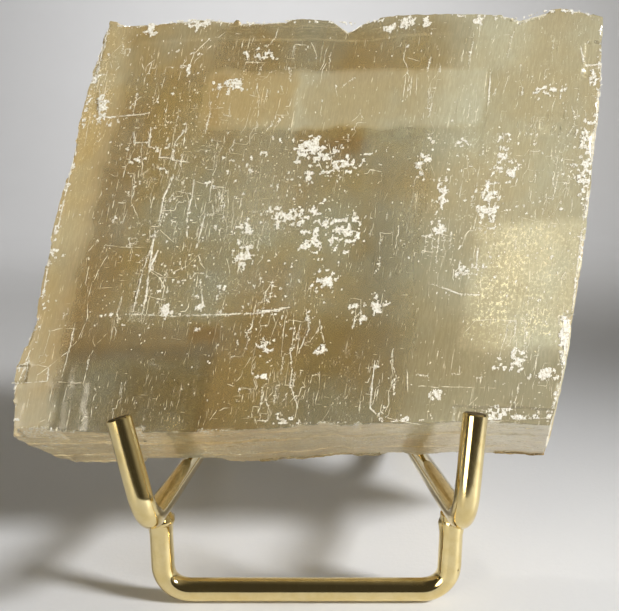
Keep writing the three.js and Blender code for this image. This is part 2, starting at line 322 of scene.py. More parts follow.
def route(corners, bend_steps=18, run_step=2.5):
    """Points along a bent rod's centre line, with the inward direction and amount of each bend."""
    corners = [Vector(c) for c in corners]
    points, inward = [corners[0]], [Vector()]

    def run_to(end):
        start = points[-1]
        count = max(1, round((end - start).length / run_step))
        for i in range(1, count + 1):
            points.append(start.lerp(end, i / count))
            inward.append(Vector())

    for before, corner, after in zip(corners, corners[1:], corners[2:]):
        into, out = (corner - before).normalized(), (after - corner).normalized()
        turn = into.angle(out)
        centre = corner + (out - into).normalized() * BEND_RADIUS / math.cos(turn / 2)
        start = corner - into * BEND_RADIUS * math.tan(turn / 2)
        run_to(start)
        axis = into.cross(out).normalized()
        for i in range(1, bend_steps + 1):
            share = i / bend_steps
            arm = Matrix.Rotation(turn * share, 3, axis) @ (start - centre)
            points.append(centre + arm)
            inward.append(-arm.normalized() * math.sin(math.pi * share) * min(1, turn))
    run_to(corners[-1])
    return points, inward


def weld_growth(flare, away, round_at, end):
    """How much a weld bead thickens the rod, some way from its end."""
    lump = value_noise(np.array([*(1.6 * round_at), end]), 5)
    bead = flare * math.exp(-((away - WELD_PEAK) / WELD_SPREAD) ** 2) * (1 + 0.45 * lump)
    return bead - 0.45 * max(0.0, 1 - away / 1.2)


def rod(name, corners, materials, node, flares=(0, 0), sides=40):
    """A round rod along corners. A flare is the weld that thickens an end."""
    points, inward = route(corners)
    for flare, first, second, at in ((flares[0], 0, 1, 1), (flares[1], -1, -2, len(points) - 1)):
        if flare:
            away = (points[second] - points[first]).normalized()
            extra = [points[first] + away * step for step in WELD_STEPS]
            points[at:at] = extra if first == 0 else extra[::-1]
            inward[at:at] = [Vector()] * len(extra)
    last = len(points) - 1
    lengths = np.cumsum([0] + [(b - a).length for a, b in zip(points, points[1:])])
    tangents = [(points[min(i + 1, last)] - points[max(i - 1, 0)]).normalized() for i in range(last + 1)]
    sideways = [tangents[0].orthogonal().normalized()]
    for along in tangents:
        sideways.append((sideways[-1] - along * sideways[-1].dot(along)).normalized())
    vertices = []

    def ring(i, radius, shift=0.0):
        a, b = sideways[i + 1], tangents[i].cross(sideways[i + 1])
        for k in range(sides):
            round_at = np.array([math.cos(2 * math.pi * k / sides), math.sin(2 * math.pi * k / sides)])
            out = a * round_at[0] + b * round_at[1]
            grown = radius - BEND_PINCH * max(0.0, out.dot(inward[i])) ** 3
            grown += ROD_WAVE * value_noise(np.array([lengths[i] * 0.09, *round_at]), 3)
            for end, flare in ((0, flares[0]), (lengths[-1], flares[1])):
                if flare:
                    grown += weld_growth(flare, abs(lengths[i] - end), round_at, end)
            vertices.append(points[i] + tangents[i] * shift + out * grown)

    ring(0, ROD_RADIUS - END_BEVEL)
    ring(0, ROD_RADIUS, END_BEVEL)
    for i in range(1, last):
        ring(i, ROD_RADIUS)
    ring(last, ROD_RADIUS, -END_BEVEL)
    ring(last, ROD_RADIUS - END_BEVEL)
    loops = np.arange(len(vertices)).reshape(-1, sides)
    vertices += [points[0] + tangents[0] * END_DISH, points[-1] - tangents[-1] * END_DISH]
    hubs = [np.full(sides, loops.size), np.full(sides, loops.size + 1)]
    caps = [np.stack([hubs[0], np.roll(loops[0], -1), loops[0]], -1),
            np.stack([hubs[1], loops[-1], np.roll(loops[-1], -1)], -1)]
    walls = band(loops[:-1], loops[1:])[:, FLIPPED]
    slots = [1] * (2 * sides) + [0] * len(walls)
    origin = Matrix.Translation(STAND_ORIGIN * MM)
    piece = mesh_object(name, vertices, [*caps, walls], materials, origin, 40, slots)
    return belongs(piece, "gold_rod", node)


def stand():
    metal = [gold_material(), cut_material()]
    leg_top = RAIL_HEIGHT - ROD_RADIUS + SUNK
    foot = [(-RAIL_X, 0, leg_top), (-FOOT_X, 0, ROD_RADIUS), (FOOT_X, 0, ROD_RADIUS), (RAIL_X, 0, leg_top)]
    rod("front_foot_rod", foot, metal, "front_foot", (WELD, WELD))
    reach = RAIL_X + REAR_BAR_OVERHANG
    rod("rear_bar_rod", [(x, REAR_BAR_Y, ROD_RADIUS) for x in (-reach, reach)], metal, "rear_bar")
    for name, x, tip in (("left_arm", -RAIL_X, LEFT_TIP), ("right_arm", RAIL_X, RIGHT_TIP)):
        hook = (x, -HOOK_REACH, rail_height(-HOOK_REACH))
        tip_y = -HOOK_REACH + (tip[1] - hook[2]) * math.tan(RAIL_FALL)
        tail_y = REAR_BAR_Y - ROD_RADIUS + SUNK
        corners = [(x, tail_y, rail_height(tail_y)), hook, (tip[0], tip_y, tip[1])]
        rod(name + "_rod", corners, metal, name, (WELD, 0))
    behind = THICKNESS + ROD_RADIUS + GAP
    top_y = SLAB_CORNER.y + BACKREST_CONTACT * math.sin(SLAB_LEAN) + behind * math.cos(SLAB_LEAN)
    top_z = SLAB_CORNER.z + BACKREST_CONTACT * math.cos(SLAB_LEAN) - behind * math.sin(SLAB_LEAN)
    rise = (top_z - rail_height(top_y)) * math.cos(RAIL_FALL)
    foot_down, knee_down = rise - ROD_RADIUS + SUNK, rise - BACKREST_KNEE
    left = [(-RAIL_X, foot_down), (BACKREST_LEFT, knee_down), (BACKREST_LEFT, 0)]
    right = [(BACKREST_RIGHT, 0), (BACKREST_RIGHT, knee_down), (RAIL_X, foot_down)]
    fall_y, fall_z = math.sin(RAIL_FALL), math.cos(RAIL_FALL)
    rest = [(x, top_y - down * fall_y, top_z - down * fall_z) for x, down in left + right]
    rod("backrest_rod", rest, metal, "backrest", (WELD, WELD))


# ------------------------------------------------------------------ slab outline
LOWER_EDGE = [(-0.2, -0.3), (21, -0.6), (42, -1.1), (53, -0.6), (64, 0), (94, 0), (105, -0.3)]
RIGHT_EDGE = [
    (115.6, -1), (117.4, 4.4), (119.6, 11.5), (122, 22.2), (124.3, 32.8), (125.9, 39.3), (128.9, 57),
    (131.7, 73.7), (133.1, 83.6)]
UPPER_EDGE = [
    (133.7, 92), (131.5, 92.9), (128.8, 93.8), (123.9, 94.3), (119.7, 94), (114.5, 92.4), (107.4, 93.2),
    (96.5, 93.5), (86.3, 93.4), (78.2, 92), (71.7, 92.3), (65.9, 92.8), (47, 93), (40.5, 93.6), (32.4, 93),
    (24.3, 92.4)]
LEFT_EDGE = [
    (19.7, 93.3), (18.1, 89.1), (16, 81.6), (14.3, 74.4), (12.7, 66.6), (11, 58.2), (9, 50.8), (7.2, 41.9),
    (5.7, 33), (4.6, 24), (2.2, 18.2), (0.4, 13.5), (-0.2, 9)]
# Cleavage sheets: start depth, and how far the lower, right, upper and left edges stand in.
SHEETS = [
    (0, 0, 0, 0, 0), (4.2, 0.35, -0.5, 0.5, 0.3), (9.6, -0.3, 0.2, -0.2, -0.4), (14.8, 0.1, -0.6, 0.7, 0.5),
    (21.4, -0.25, 0.4, 0.1, -0.2)]
SHEET_SHARE = 0.42  # how much of a sheet's overhang the worn sides still show
THIN_SHEETS = 15  # sheets in the whole thickness, the thin ones too
THINNEST_SHEET = 0.35
GROOVE = 0.04  # how far a sheet's border stands off its neighbour's
OUTWARD = ((0, -1), (1, 0), (0, 1), (-1, 0))  # of the lower, right, upper and left sides
COLUMNS = 196
ROWS = 156


def resample(corners, count):
    """count + 1 points evenly along a line of corners."""
    corners = np.array(corners, float)
    along = np.concatenate([[0], np.cumsum(np.hypot(*np.diff(corners, axis=0).T))])
    at = np.linspace(0, along[-1], count + 1)
    return pair(np.interp(at, along, corners[:, 0]), np.interp(at, along, corners[:, 1]))


def line_length(line):
    return np.hypot(*np.diff(np.array(line, float), axis=0).T).sum()


def slab_edges(offsets):
    """The four sides of an outline, each going right or up: lower, right, upper, left."""
    def moved(edge, dx, dz):
        return [(x + dx, z + dz) for x, z in edge]
    lower, right, upper, left = offsets
    lower, right = moved(LOWER_EDGE, 0, lower), moved(RIGHT_EDGE, -right, 0)
    upper, left = moved(UPPER_EDGE, 0, -upper), moved(LEFT_EDGE, left, 0)
    return (
        resample(lower + right[:1], COLUMNS), resample(right + upper[:1], ROWS),
        resample(left[:1] + upper[::-1], COLUMNS), resample(lower[:1] + left[::-1], ROWS),
    )


def broken(edge, across, roughness, seed):
    """An edge with small cleavage steps and fractal wander, still between the same two ends."""
    s = np.linspace(0, 1, len(edge))
    at = s * np.hypot(*(edge[-1] - edge[0]))
    steps = 0
    for size, share in ((7.0, 0.5), (3.1, 0.32), (1.3, 0.22)):
        cell = at / size + 0.35 * value_noise(pair(at / size * 1.7, s), seed + 2)
        steps = steps + share * (hashed(np.floor(cell), seed + size) - 0.5)
    wander = 0.35 * fractal(pair(at / 2.5, s * 0), 3, seed + 5)
    ends = smooth_step(0, 0.03, s) * smooth_step(0, 0.03, 1 - s)
    return edge + np.outer((steps + 0.5 * wander) * roughness * ends, across)


def coons(lower, right, upper, left):
    """A grid of points between four sides."""
    u = np.linspace(0, 1, len(lower))[None, :, None]
    v = np.linspace(0, 1, len(left))[:, None, None]
    between = (1 - v) * lower[None] + v * upper[None] + (1 - u) * left[:, None] + u * right[:, None]
    corners = ((1 - u) * (1 - v) * lower[0] + u * (1 - v) * lower[-1]
               + (1 - u) * v * upper[0] + u * v * upper[-1])
    return between - corners


def run_at(x, z):
    heel = np.clip(1 - z / HEEL_TOP, 0, 1) * np.clip(1 - x / HEEL_END, 0, 1)
    return CLEAVAGE_RUN + (HEEL_RUN - CLEAVAGE_RUN) * heel


def in_depth(flat, y):
    """Points of an outline at a depth of the slab, shifted along the cleavage."""
    x, z = flat[..., 0], flat[..., 1]
    return triple(x + run_at(x, z) * y, np.broadcast_to(y, x.shape), z - CLEAVAGE_DROP * y)


# ------------------------------------------------------------------ slab relief
# The front's missing cleavage sheet, thinner losses inside it, and plates gone from the back.
MISSING_SHEET = [
    (-12, -16), (64, -16), (63.4, 23.6), (25.4, 24.3), (27.2, 32), (29, 40.1), (30.4, 50.4), (32.6, 59.6),
    (32.2, 61), (29.2, 61.6), (28.8, 62.8), (25.4, 63.3), (25.3, 66.6), (27.6, 68), (29.1, 70.3),
    (17.3, 70.1), (16.9, 80.1), (18.6, 88), (19, 100), (-12, 100)]
FRONT_LEDGES = [  # outline, depth
    (MISSING_SHEET, 0.22),
    ([(-12, 10.2), (2.5, 10.2), (3.2, 13.8), (-12, 13.8)], 0.8),
    ([(-12, -16), (15.6, -16), (15.6, 9.9), (-12, 9.9)], 0.4),
    ([(129.3, 86), (128.4, 77.6), (142, 77.6), (142, 86)], 0.45),
    ([(94, -10), (95.4, 3.4), (118, 2.2), (124, -10)], 0.4)]
BACK_LEDGES = [
    ([(30, 76), (100, 75), (103, 110), (34, 110)], 0.9),
    ([(52, 80), (78, 80), (81, 110), (55, 110)], 1.8),
    ([(108, -16), (126, -16), (146, 92), (127, 92)], 1.26),
    ([(-4, 8), (20, 7), (24, 30), (2, 31)], 0.9),
    ([(50, -16), (80, -16), (83, 2), (54, 3)], 0.9)]
PLATE_COUNT = 70  # thin rhombic plates missing from each face
RELIEF_REACH = 3.0  # how deep the relief of a face can reach
WEAR_HALF_WIDTH = 10.0
FLAKES_PER_EDGE = 26
FLAKE_HALF_WIDTH = 7.0
FLAKE_REACH = 3.0  # points further outside the edge stay
LARGE_FLAKES = [  # where, along, outward, length, depth
    ((121, 0, 16), (0.2, 0, 1), (0.8, -0.6, 0), 14, 1.2),
    ((73.4, 0, 92), (1, 0, -0.85), (0.6, -0.5, 0.7), 6, 1.3),
    ((77.2, 0, 92), (1, 0, 0.8), (-0.5, -0.5, 0.7), 6, 1.1),
    ((-1, 12, -4.5), (0, 1, -0.2), (-0.8, 0, -0.6), 60, 1.8),
    ((0.5, 25, -7.2), (0, 1, -0.2), (-0.6, 0.3, -0.7), 60, 2.2)]


def inside(corners, x, z):
    """Which points lie inside a flat outline."""
    hit = np.zeros(np.shape(x), bool)
    for (x0, z0), (x1, z1) in zip(corners, corners[1:] + corners[:1]):
        crosses = (z0 > z) != (z1 > z)
        hit ^= crosses & (x < x0 + (z - z0) * (x1 - x0) / (z1 - z0 if z1 != z0 else 1e-9))
    return hit


def plates(seed):
    """Rhombic plates along the cleavage directions: low and high sheared x, low and high z, depth."""
    spread = np.random.default_rng(seed)
    made = []
    for _ in range(PLATE_COUNT):
        x, z = spread.uniform(-6, 118), spread.uniform(-6, 96)
        wide, tall = spread.gamma(2, 3.2), spread.gamma(2, 4.5)
        made.append((x, x + wide, z, z + tall, spread.uniform(0.02, 0.1)))
    return made


FRONT_PLATES = plates(SEED + 1)
BACK_PLATES = plates(SEED + 2)


def relief(x, z, ledges, thin_plates):
    """How far a face lies under the outermost cleavage plane."""
    jitter = 0.5 * fractal(pair(x / 1.9, z / 1.9), 2, 11)
    across = 0.5 * fractal(pair(x / 2.3, z / 1.7), 2, 19)
    depth = np.zeros(np.shape(x))
    for corners, deep in ledges:
        depth = np.maximum(depth, deep * inside(corners, x + 0.5 * jitter, z + 0.5 * across))
    along = x - SLANT * z
    for x0, x1, z0, z1, deep in thin_plates:
        within = (along + jitter > x0) & (along + jitter < x1) & (z + across > z0) & (z + across < z1)
        depth = depth + deep * within
    return np.clip(depth + 0.05 + 0.05 * value_noise(pair(x / 31, z / 23), 23), 0, None)


def front_depth(x, z):
    return relief(x, z, FRONT_LEDGES, FRONT_PLATES)


def back_depth(x, z):
    return relief(x, z, BACK_LEDGES, BACK_PLATES)


def knock_off(points, scar, at, along, outward, length, depth):
    """Shaves the points of an edge down to a flake's inner side."""
    along, outward = np.array(along, float), unit(np.array(outward, float))
    along = unit(along - outward * (along @ outward))
    apart = points - at
    height = apart @ outward + depth
    hit = (height > 0) & (height < depth + FLAKE_REACH) & (abs(apart @ along) < length / 2)
    hit &= abs(apart @ np.cross(along, outward)) < FLAKE_HALF_WIDTH
    points[hit] -= np.outer(height[hit], outward)
    scar[hit] = np.maximum(scar[hit], smooth_step(0, 0.25, height[hit]))


def edge_flakes(points, scar, edge, y, spread, outside):
    """Random flakes along one edge of the front or back outline."""
    for _ in range(FLAKES_PER_EDGE):
        place = spread.uniform(0.01, 0.99) * (len(edge) - 1)
        i = min(int(place), len(edge) - 2)
        flat = edge[i] + (edge[i + 1] - edge[i]) * (place - i)
        at = in_depth(flat[None], y)[0]
        step = edge[min(i + 3, len(edge) - 1)] - edge[max(i - 2, 0)]
        away = unit(np.array([step[1], 0, -step[0]]) * outside)
        facing = spread.uniform(0.25, 1.6) * (1 if y > 0 else -1)
        outward = away + np.array([0, facing, 0])
        along = unit(np.array([step[0], 0, step[1]])) + np.array([0, spread.normal(0, 0.12), 0])
        size = spread.gamma(2.2, 1.1) + 0.8
        knock_off(points, scar, at, along, outward, size, 0.08 + 0.16 * size * spread.uniform(0.4, 1))


def wear(points):
    """Cuts the resting edge parallel to the rails, a gap above them."""
    turn = np.array(slab_matrix.to_3x3())
    origin = np.array(SLAB_CORNER)
    world = points @ turn.T + origin
    floor = rail_height(world[:, 1]) + (ROD_RADIUS + GAP) / math.cos(RAIL_FALL)
    near = (abs(abs(world[:, 0]) - RAIL_X) < WEAR_HALF_WIDTH) & (world[:, 1] > 0)
    world[:, 2] = np.where(near, np.maximum(world[:, 2], floor), world[:, 2])
    return (world - origin) @ turn


def cleavage_cuts(spread):
    """The depths at which the block splits into sheets."""
    thin = spread.uniform(0.8, THICKNESS - 0.8, THIN_SHEETS - len(SHEETS))
    cuts = np.sort([0, THICKNESS, *(sheet[0] for sheet in SHEETS[1:]), *thin])
    cuts = cuts[np.concatenate([[True], np.diff(cuts) > THINNEST_SHEET])]
    cuts[-1] = THICKNESS
    return cuts


def sheet_sides(k, depth, spread):
    """The four broken sides of one sheet of the block."""
    main = max(i for i, sheet in enumerate(SHEETS) if sheet[0] <= depth + 1e-6)
    offsets = SHEET_SHARE * np.array(SHEETS[main][1:]) + spread.uniform(-0.14, 0.24, 4) * (k > 0)
    sides = []
    for i, (edge, outward) in enumerate(zip(slab_edges(offsets), OUTWARD)):
        for roughness, seed in ((0.5, 40), (0.2, 70 + main), (0.34 if k else 0.12, 90 + k)):
            edge = broken(edge, outward, roughness, seed + 10 * i)
        sides.append(edge)
    return sides


def slab_mesh():
    """The points and faces of the cleaved block, and how scarred each point is."""
    spread = np.random.default_rng(SEED)
    cuts = cleavage_cuts(spread)
    sheets = [sheet_sides(k, depth, spread) for k, depth in enumerate(cuts[:-1])]
    rings = []
    for k, (sides, front, back) in enumerate(zip(sheets, cuts, cuts[1:])):
        ring = np.concatenate([sides[0][:-1], sides[1][:-1], sides[2][:0:-1], sides[3][:0:-1]])
        middle = [0.5 * (front + back)] if back - front > 1.6 else []
        rings += [in_depth(ring, y) for y in (front + (GROOVE if k else 0.12), *middle, back - GROOVE)]
    first, last = sheets[0], sheets[-1]
    grids = [in_depth(coons(*first), 0.0), in_depth(coons(*last), THICKNESS)]
    points = np.concatenate([grid.reshape(-1, 3) for grid in grids] + rings)
    index = np.arange(grids[0][..., 0].size).reshape(grids[0].shape[:2])
    rim = grid_rim(index)
    between = 2 * index.size + np.arange(len(rings) * len(rim)).reshape(len(rings), -1)
    loops = np.stack([rim, *between, rim + index.size])
    faces = [grid_faces(index), grid_faces(index + index.size)[:, FLIPPED], band(loops[:-1], loops[1:])]

    scar = np.zeros(len(points))
    x, y, z = points.T
    lift = front_depth(x, z) + 0.02 * smooth_step(0, 2, y)
    under = THICKNESS - back_depth(x, z)
    y = np.where(y < RELIEF_REACH, np.maximum(y, lift), y)
    points[:, 1] = np.where(y > THICKNESS - RELIEF_REACH, np.minimum(y, under), y)
    for i, outside in enumerate((1, 1, -1, -1)):
        edge_flakes(points, scar, first[i], 0.0, spread, outside)
        edge_flakes(points, scar, last[i], THICKNESS, spread, outside)
    for flake in LARGE_FLAKES:
        knock_off(points, scar, *flake)
    return wear(points), np.concatenate(faces), scar


# ------------------------------------------------------------------ zones of the crystal
# Each zone is a rhomb: low and high sheared x (x - SLANT z), low and high z, border width, amount.
# Mostly iron staining; the zone at 49.5 to 64.5 and 60.6 to 67 is a painted image of the gold backrest's
# top bar seen through the stone.
STAIN_AND_ROD_ZONES = [
    (-12, 68, 80.4, 100, 0.8, 0.35), (18, 37, 80.6, 91.6, 1.5, 0.35), (51, 66, 80, 91, 1.2, 0.5),
    (-6, 13, 18, 78, 2.5, 0.85), (9, 59, 16.8, 23.8, 0.7, 0.75), (33.5, 40.5, 18.4, 22.4, 0.8, 0.8),
    (37.5, 44, -4, 20, 0.7, 0.5), (49.5, 64.5, 60.6, 67, 0.9, 0.8), (35, 53.5, 45, 65, 2, 0.4),
    (40, 53, 24, 39, 1.5, 0.5), (26.5, 49.5, 66.7, 80.5, 1.2, 0.22), (27, 32.5, 67, 79.8, 0.5, 0.25),
    (-14, 7, -4, 32, 2, 0.5), (67, 79, 6, 63, 2, 0.22), (66, 79, 10, 22, 1.5, 0.25)]
COOL_ZONES = [
    (47.5, 91, 66.3, 80, 0.8, 0.55), (6, 37, 25, 66, 3, 0.3), (71, 94, 25, 52, 2, 0.4),
    (8, 41, -3, 17.6, 1.2, 0.5), (24, 38, 3, 12, 2.5, 0.35), (44, 66, 2, 15, 3, 0.4)]
HAZE_ZONES = [
    (-14, 7, -6, 96, 2.5, 0.42), (-6, 30, 60, 96, 5, 0.15), (8, 100, 80, 96, 2, 0.15),
    (84, 140, -5, 95, 8, 0.15), (93.5, 118, 15.5, 44, 1.2, 0.3), (100, 112, 30, 43, 1, 0.3),
    (47.5, 91, 66.3, 80, 0.8, 0.4), (26.5, 49.5, 66.7, 80.5, 1.2, 0.35), (-6, 6, 40, 95, 3, 0.35)]
CHALK_ZONES = [
    (50, 62, 55.5, 63.5, 2.5, 0.9), (48, 62.5, 37.5, 49.5, 3, 0.85), (39, 45.5, 33.5, 45, 1.8, 0.75),
    (94.5, 99.5, 55, 62.5, 1.2, 0.8), (82, 86.5, 46.5, 53.5, 1.2, 0.7), (108, 120, 52, 69, 2.5, 0.6),
    (32, 42, 82.5, 86.5, 1.2, 0.75), (66.5, 70.5, 90, 94, 1, 0.9), (-1, 6, 68, 84, 1.5, 0.8),
    (10, 27, 58, 68, 3, 0.35), (78, 90, 22, 27, 2, 0.35), (20, 45, 30, 56, 5, 0.35),
    (62, 70, 20, 28, 2, 0.5), (50, 58, 0, 22, 3, 0.4), (95, 119, -3, 3, 1.2, 0.8),
    (66, 76, -2, 3, 1.2, 0.6), (0, 40, 86, 95, 3, 0.4)]
PALE_ZONES = [
    (80, 140, -5, 98, 8, 0.66), (60, 130, 80, 98, 6, 0.2), (47, 91, 66, 80, 2, 0.3),
    (27, 50, 66, 80, 3, 0.25), (94, 122, 14, 60, 4, 0.2), (95, 124, -4, 8, 4, 0.3),
    (36, 52, 42, 64, 3, 0.35)]
CRAZED_ZONES = [
    (12, 43, 22, 69, 4, 0.9), (38, 57, 27, 50, 4, 0.7), (22, 42, 66, 92, 3, 0.6), (48, 66, 2, 24, 4, 0.6),
    (58, 74, -2, 18, 3, 0.7), (78, 96, 38, 68, 5, 0.7), (94, 122, 12, 90, 6, 0.4), (18, 40, -2, 18, 3, 0.5),
    (-6, 6, 50, 92, 3, 0.6), (50, 80, 50, 66, 5, 0.35), (-4, 14, -2, 40, 4, 0.25)]
# Painted glints: zones where cream specks are painted for light glinting inside the stone.
GLINT_ZONES = [
    (94, 118, 16, 43, 2.5, 0.4), (95.5, 103, 21, 31, 1, 1), (98, 105.5, 31.5, 37, 1, 0.8),
    (106.5, 113, 18, 24, 0.6, 1), (97, 108, 37, 43, 1.5, 0.5), (103, 111, 26, 30, 1.5, 0.6)]
# Painted shade: zones painted darker where the shadowed table shows through the clearer stone, and darker
# zones of the stone itself.
DUSK_AND_SHADE_ZONES = [
    (8, 41, -3, 17.6, 1.2, 0.5), (20, 40, 1, 15, 4, 0.3), (9, 59, 16.8, 23.8, 0.8, 0.2),
    (41, 68, -2, 16, 3, 0.16), (-12, 8, -4, 10, 2, 0.15), (60, 98, -1, 24, 5, 0.4),
    (98, 124, -2, 14, 3, 0.35), (26, 86, 80.4, 92, 1.5, 0.26), (-12, 26, 80.4, 94, 3, 0.1),
    (66, 92, 24, 44, 4, 0.2), (10, 30, 60, 79, 4, 0.15), (37, 66, 46, 62, 5, 0.06)]
# Partly rust; the zone at 49.5 to 64.5 and 60.8 to 66.4 is a painted image of the gold backrest's top bar
# seen through the stone.
RUST_AND_ROD_ZONES = [
    (49.5, 64.5, 60.8, 66.4, 1, 0.45), (33.5, 40.5, 18.4, 22.4, 1, 0.7), (28, 31, 67.5, 79, 0.5, 0.35),
    (-11, -1, -2, 9, 1.5, 0.5), (66, 70, 36, 50, 1.5, 0.3)]
# Where loose flecks, long thin ones and yellow ones gather on the front; the yellow ones are painted
# glints.
FLECK_ZONES = [
    (-4, 30, 62, 96, 6, 0.5), (10, 60, 20, 68, 8, 0.7), (45, 66, 36, 64, 5, 0.5), (78, 120, 30, 66, 8, 0.6),
    (94, 120, 14, 44, 3, 0.5), (40, 70, 0, 34, 6, 0.4), (30, 75, 80, 95, 5, 0.3), (84, 125, -2, 14, 4, 0.3)]
STREAK_ZONES = [
    (8, 62, 22, 70, 6, 0.8), (24, 52, 66, 90, 4, 0.6), (20, 46, -2, 22, 4, 0.8), (44, 80, 0, 45, 5, 0.6),
    (68, 120, 20, 95, 8, 0.35)]
GLINT_FLECK_ZONES = [(93.5, 119, 15.5, 44, 1.5, 0.9), (100, 112, 30, 43, 1, 0.5), (86, 94, 40, 56, 3, 0.3)]
ZONE_WANDER = 0.8
BACK_TURN = 118.0  # the back shows the same zones turned over and lifted
BACK_LIFT = 7.6
SNOW_TURN = BACK_TURN - 8
LEDGE_REACH = 0.35  # how far from a ledge the front counts as scarred
RAIL_WINDOWS = (35.4, 88.6)  # x of the clear places under the slab that show the rails


def zone_amount(zones, x, z):
    """How much zones cover each point, from 0 to 1. Their borders wander a little."""
    flat = pair(x / 4.3, z / 4.3)
    a = x - SLANT * z + ZONE_WANDER * fractal(flat, 2, 31)
    b = z + 0.6 * ZONE_WANDER * fractal(flat, 2, 37)
    total = np.zeros(np.shape(x))
    for a0, a1, z0, z1, soft, amount in zones:
        within = (smooth_step(a0 - soft, a0 + soft, a) * smooth_step(-a1 - soft, -a1 + soft, -a)
                  * smooth_step(z0 - soft, z0 + soft, b) * smooth_step(-z1 - soft, -z1 + soft, -b))
        total = total + (1 - total) * amount * within
    return total


# ------------------------------------------------------------------ calcite
HONEY = colour(224, 194, 130)
PALE = colour(229, 225, 194)
# Rust, and the colour of the painted image of the gold backrest seen through the stone.
RUST_AND_ROD_TONE = colour(180, 138, 66)
GREY_GREEN = colour(190, 196, 182)
CHALK = colour(228, 225, 214)
# The cream of painted glints.
PAINTED_GLINT_CREAM = colour(248, 240, 196)
BLUSH = colour(217, 195, 152)
# The dark tone of brush streaks and layers, and the painted shade of the darker zones.
DARK_TONE_AND_SHADE = colour(106, 88, 48)
STONE_IOR = 1.6
CLEARNESS = 0.74
ABSORPTION = {"Color": (0.78, 0.67, 0.2, 1), "Density": 14.0}
PAINTED = "scar frost under crazed dusky rust cool pale glitter chalk stain haze".split()


def patterns(s):
    """The stone's painted values, and its noises, most of them stretched along the cleavage."""
    place = s.place()
    x, y, z = s.split(place)
    along = x - z * SLANT
    cleaved = s.vector(along, y, z)
    return SimpleNamespace(
        **{name: s.attribute(name) for name in PAINTED},
        x=x, y=y, z=z, along=along, cleaved=cleaved,
        cloud=s.noise(cleaved, 0.035, 4),
        patch=s.noise(cleaved, 0.12, 3, 0.6),
        grain=s.noise(cleaved, 1.7, 4, 0.7),
        fine=s.noise(place, 5.0, 2, 0.6),
        upright=s.noise(s.vector(along, y * 0.3, z * 0.07), 1.6, 3, 0.65, 0.3),
        brush=s.noise(s.vector(along, y * 0.3, z * 0.15), 2.4, 3, 0.7, 0.4),
        layers=s.noise(s.vector(along * 0.12, y * 1.5, z * 0.12), 2.0, 4, 0.75))


def fine_cracks(s, n):
    """A net of cells and long hairs, gathered in patches."""
    warp = s.noise(n.cleaved, 0.45, 3)
    flat = s.vector(n.along * 0.5 + warp * 2.2, n.z * 0.22 + warp * 0.8, 0.0)
    net = s.node("TexVoronoi", {"Vector": flat, "Scale": 1.0}, feature="DISTANCE_TO_EDGE")
    net = s.ramp(net, 0.02, 0.06, 1.0, 0.0) * s.ramp(n.patch, 0.45, 0.6, 0.0, 0.4)
    hair = s.noise(s.vector(n.along * 0.75, n.y * 0.3, n.z * 0.11), 1.0, 3, 0.6, 0.5)
    hair = s.ramp(s.math("ABSOLUTE", hair - 0.5), 0.003, 0.010, 0.55, 0.0)
    gathered = s.ramp(n.patch, 0.4, 0.6, 0.25, 1.0) * n.crazed
    return s.larger(net, hair) * (s.ramp(n.grain, 0.48, 0.6) * gathered)


def stone_white(s, n):
    """How much white chalk shows: flecks, scratches, the sides' layers and cracks."""
    scratches = s.ramp(n.upright, 0.60, 0.72) * s.ramp(n.patch, 0.40, 0.62)
    layered = s.ramp(n.layers, 0.56, 0.68) * (n.frost * 0.9)
    flecks = n.grain + n.chalk * 0.07 + n.scar * 0.2 + n.pale * 0.05
    white = s.larger(s.ramp(flecks, 0.69, 0.79), s.larger(scratches, layered) * 0.45)
    return s.larger(white, fine_cracks(s, n))


def stone_tone(s, n, painted_glint_share, white):
    """The stone's colour, from its honey ground to the chalk on top, with painted shade, painted glints and
    a painted image of the gold backrest seen through it.
    """
    under = s.blend(s.ramp(n.x, 40, 118), BLUSH, CHALK)
    tone = s.blend(s.ramp(n.cloud, 0.35, 0.65), PALE, HONEY)
    for share, over in (
        # stain, and in one zone the painted image of the backrest seen through
        (n.stain * 0.6, HONEY),
        (n.pale * 0.9, PALE),
        (n.haze * n.cool, GREY_GREEN),
        (s.ramp(n.brush, 0.38, 0.66, 0.2, 0.0), DARK_TONE_AND_SHADE),
        # painted shade where the shadowed table shows through, and darker stone
        (n.dusky * 0.8, DARK_TONE_AND_SHADE),
        # rust, and the painted image of the backrest seen through the stone
        (n.rust * s.ramp(n.grain, 0.3, 0.6, 1.0, 0.6), RUST_AND_ROD_TONE),
        (n.under * 0.7, under),
        (n.frost * s.ramp(n.layers, 0.36, 0.56, 0.35, 0.0), DARK_TONE_AND_SHADE),
        # painted glints
        (painted_glint_share, PAINTED_GLINT_CREAM),
        (white, CHALK),
    ):
        tone = s.blend(share, tone, over)
    return tone


def calcite_material():
    s = Shader("honey_calcite")
    n = patterns(s)
    # Painted glints: cream specks painted for light glinting inside the stone.
    painted_glint_share = s.ramp(s.noise(n.cleaved, 1.2, 4, 0.75), 0.5, 0.63) * n.glitter
    white = stone_white(s, n)
    s.set(Base_Color=stone_tone(s, n, painted_glint_share, white), IOR=STONE_IOR)
    dull = n.haze * 0.4 + white * 0.7 + n.scar * 0.2 + n.frost * 0.28
    dull = dull + n.under * 0.35 + painted_glint_share * 0.5 + n.pale * 0.17
    s.set(Transmission_Weight=s.math("SUBTRACT", CLEARNESS, dull, clamp=True))
    s.set(Roughness=n.haze * 0.1 + white * 0.3 + n.fine * 0.1 + n.frost * 0.22 + 0.14)
    height = n.upright * 0.1 + n.brush * 0.12 + n.layers * (n.frost * 0.6)
    s.bump(height + n.grain * 0.06 + n.fine * 0.03 + white * 0.15, 0.00025, 0.5)
    s.put(s.output.inputs["Volume"], s.node("VolumeAbsorption", ABSORPTION))
    return s.material


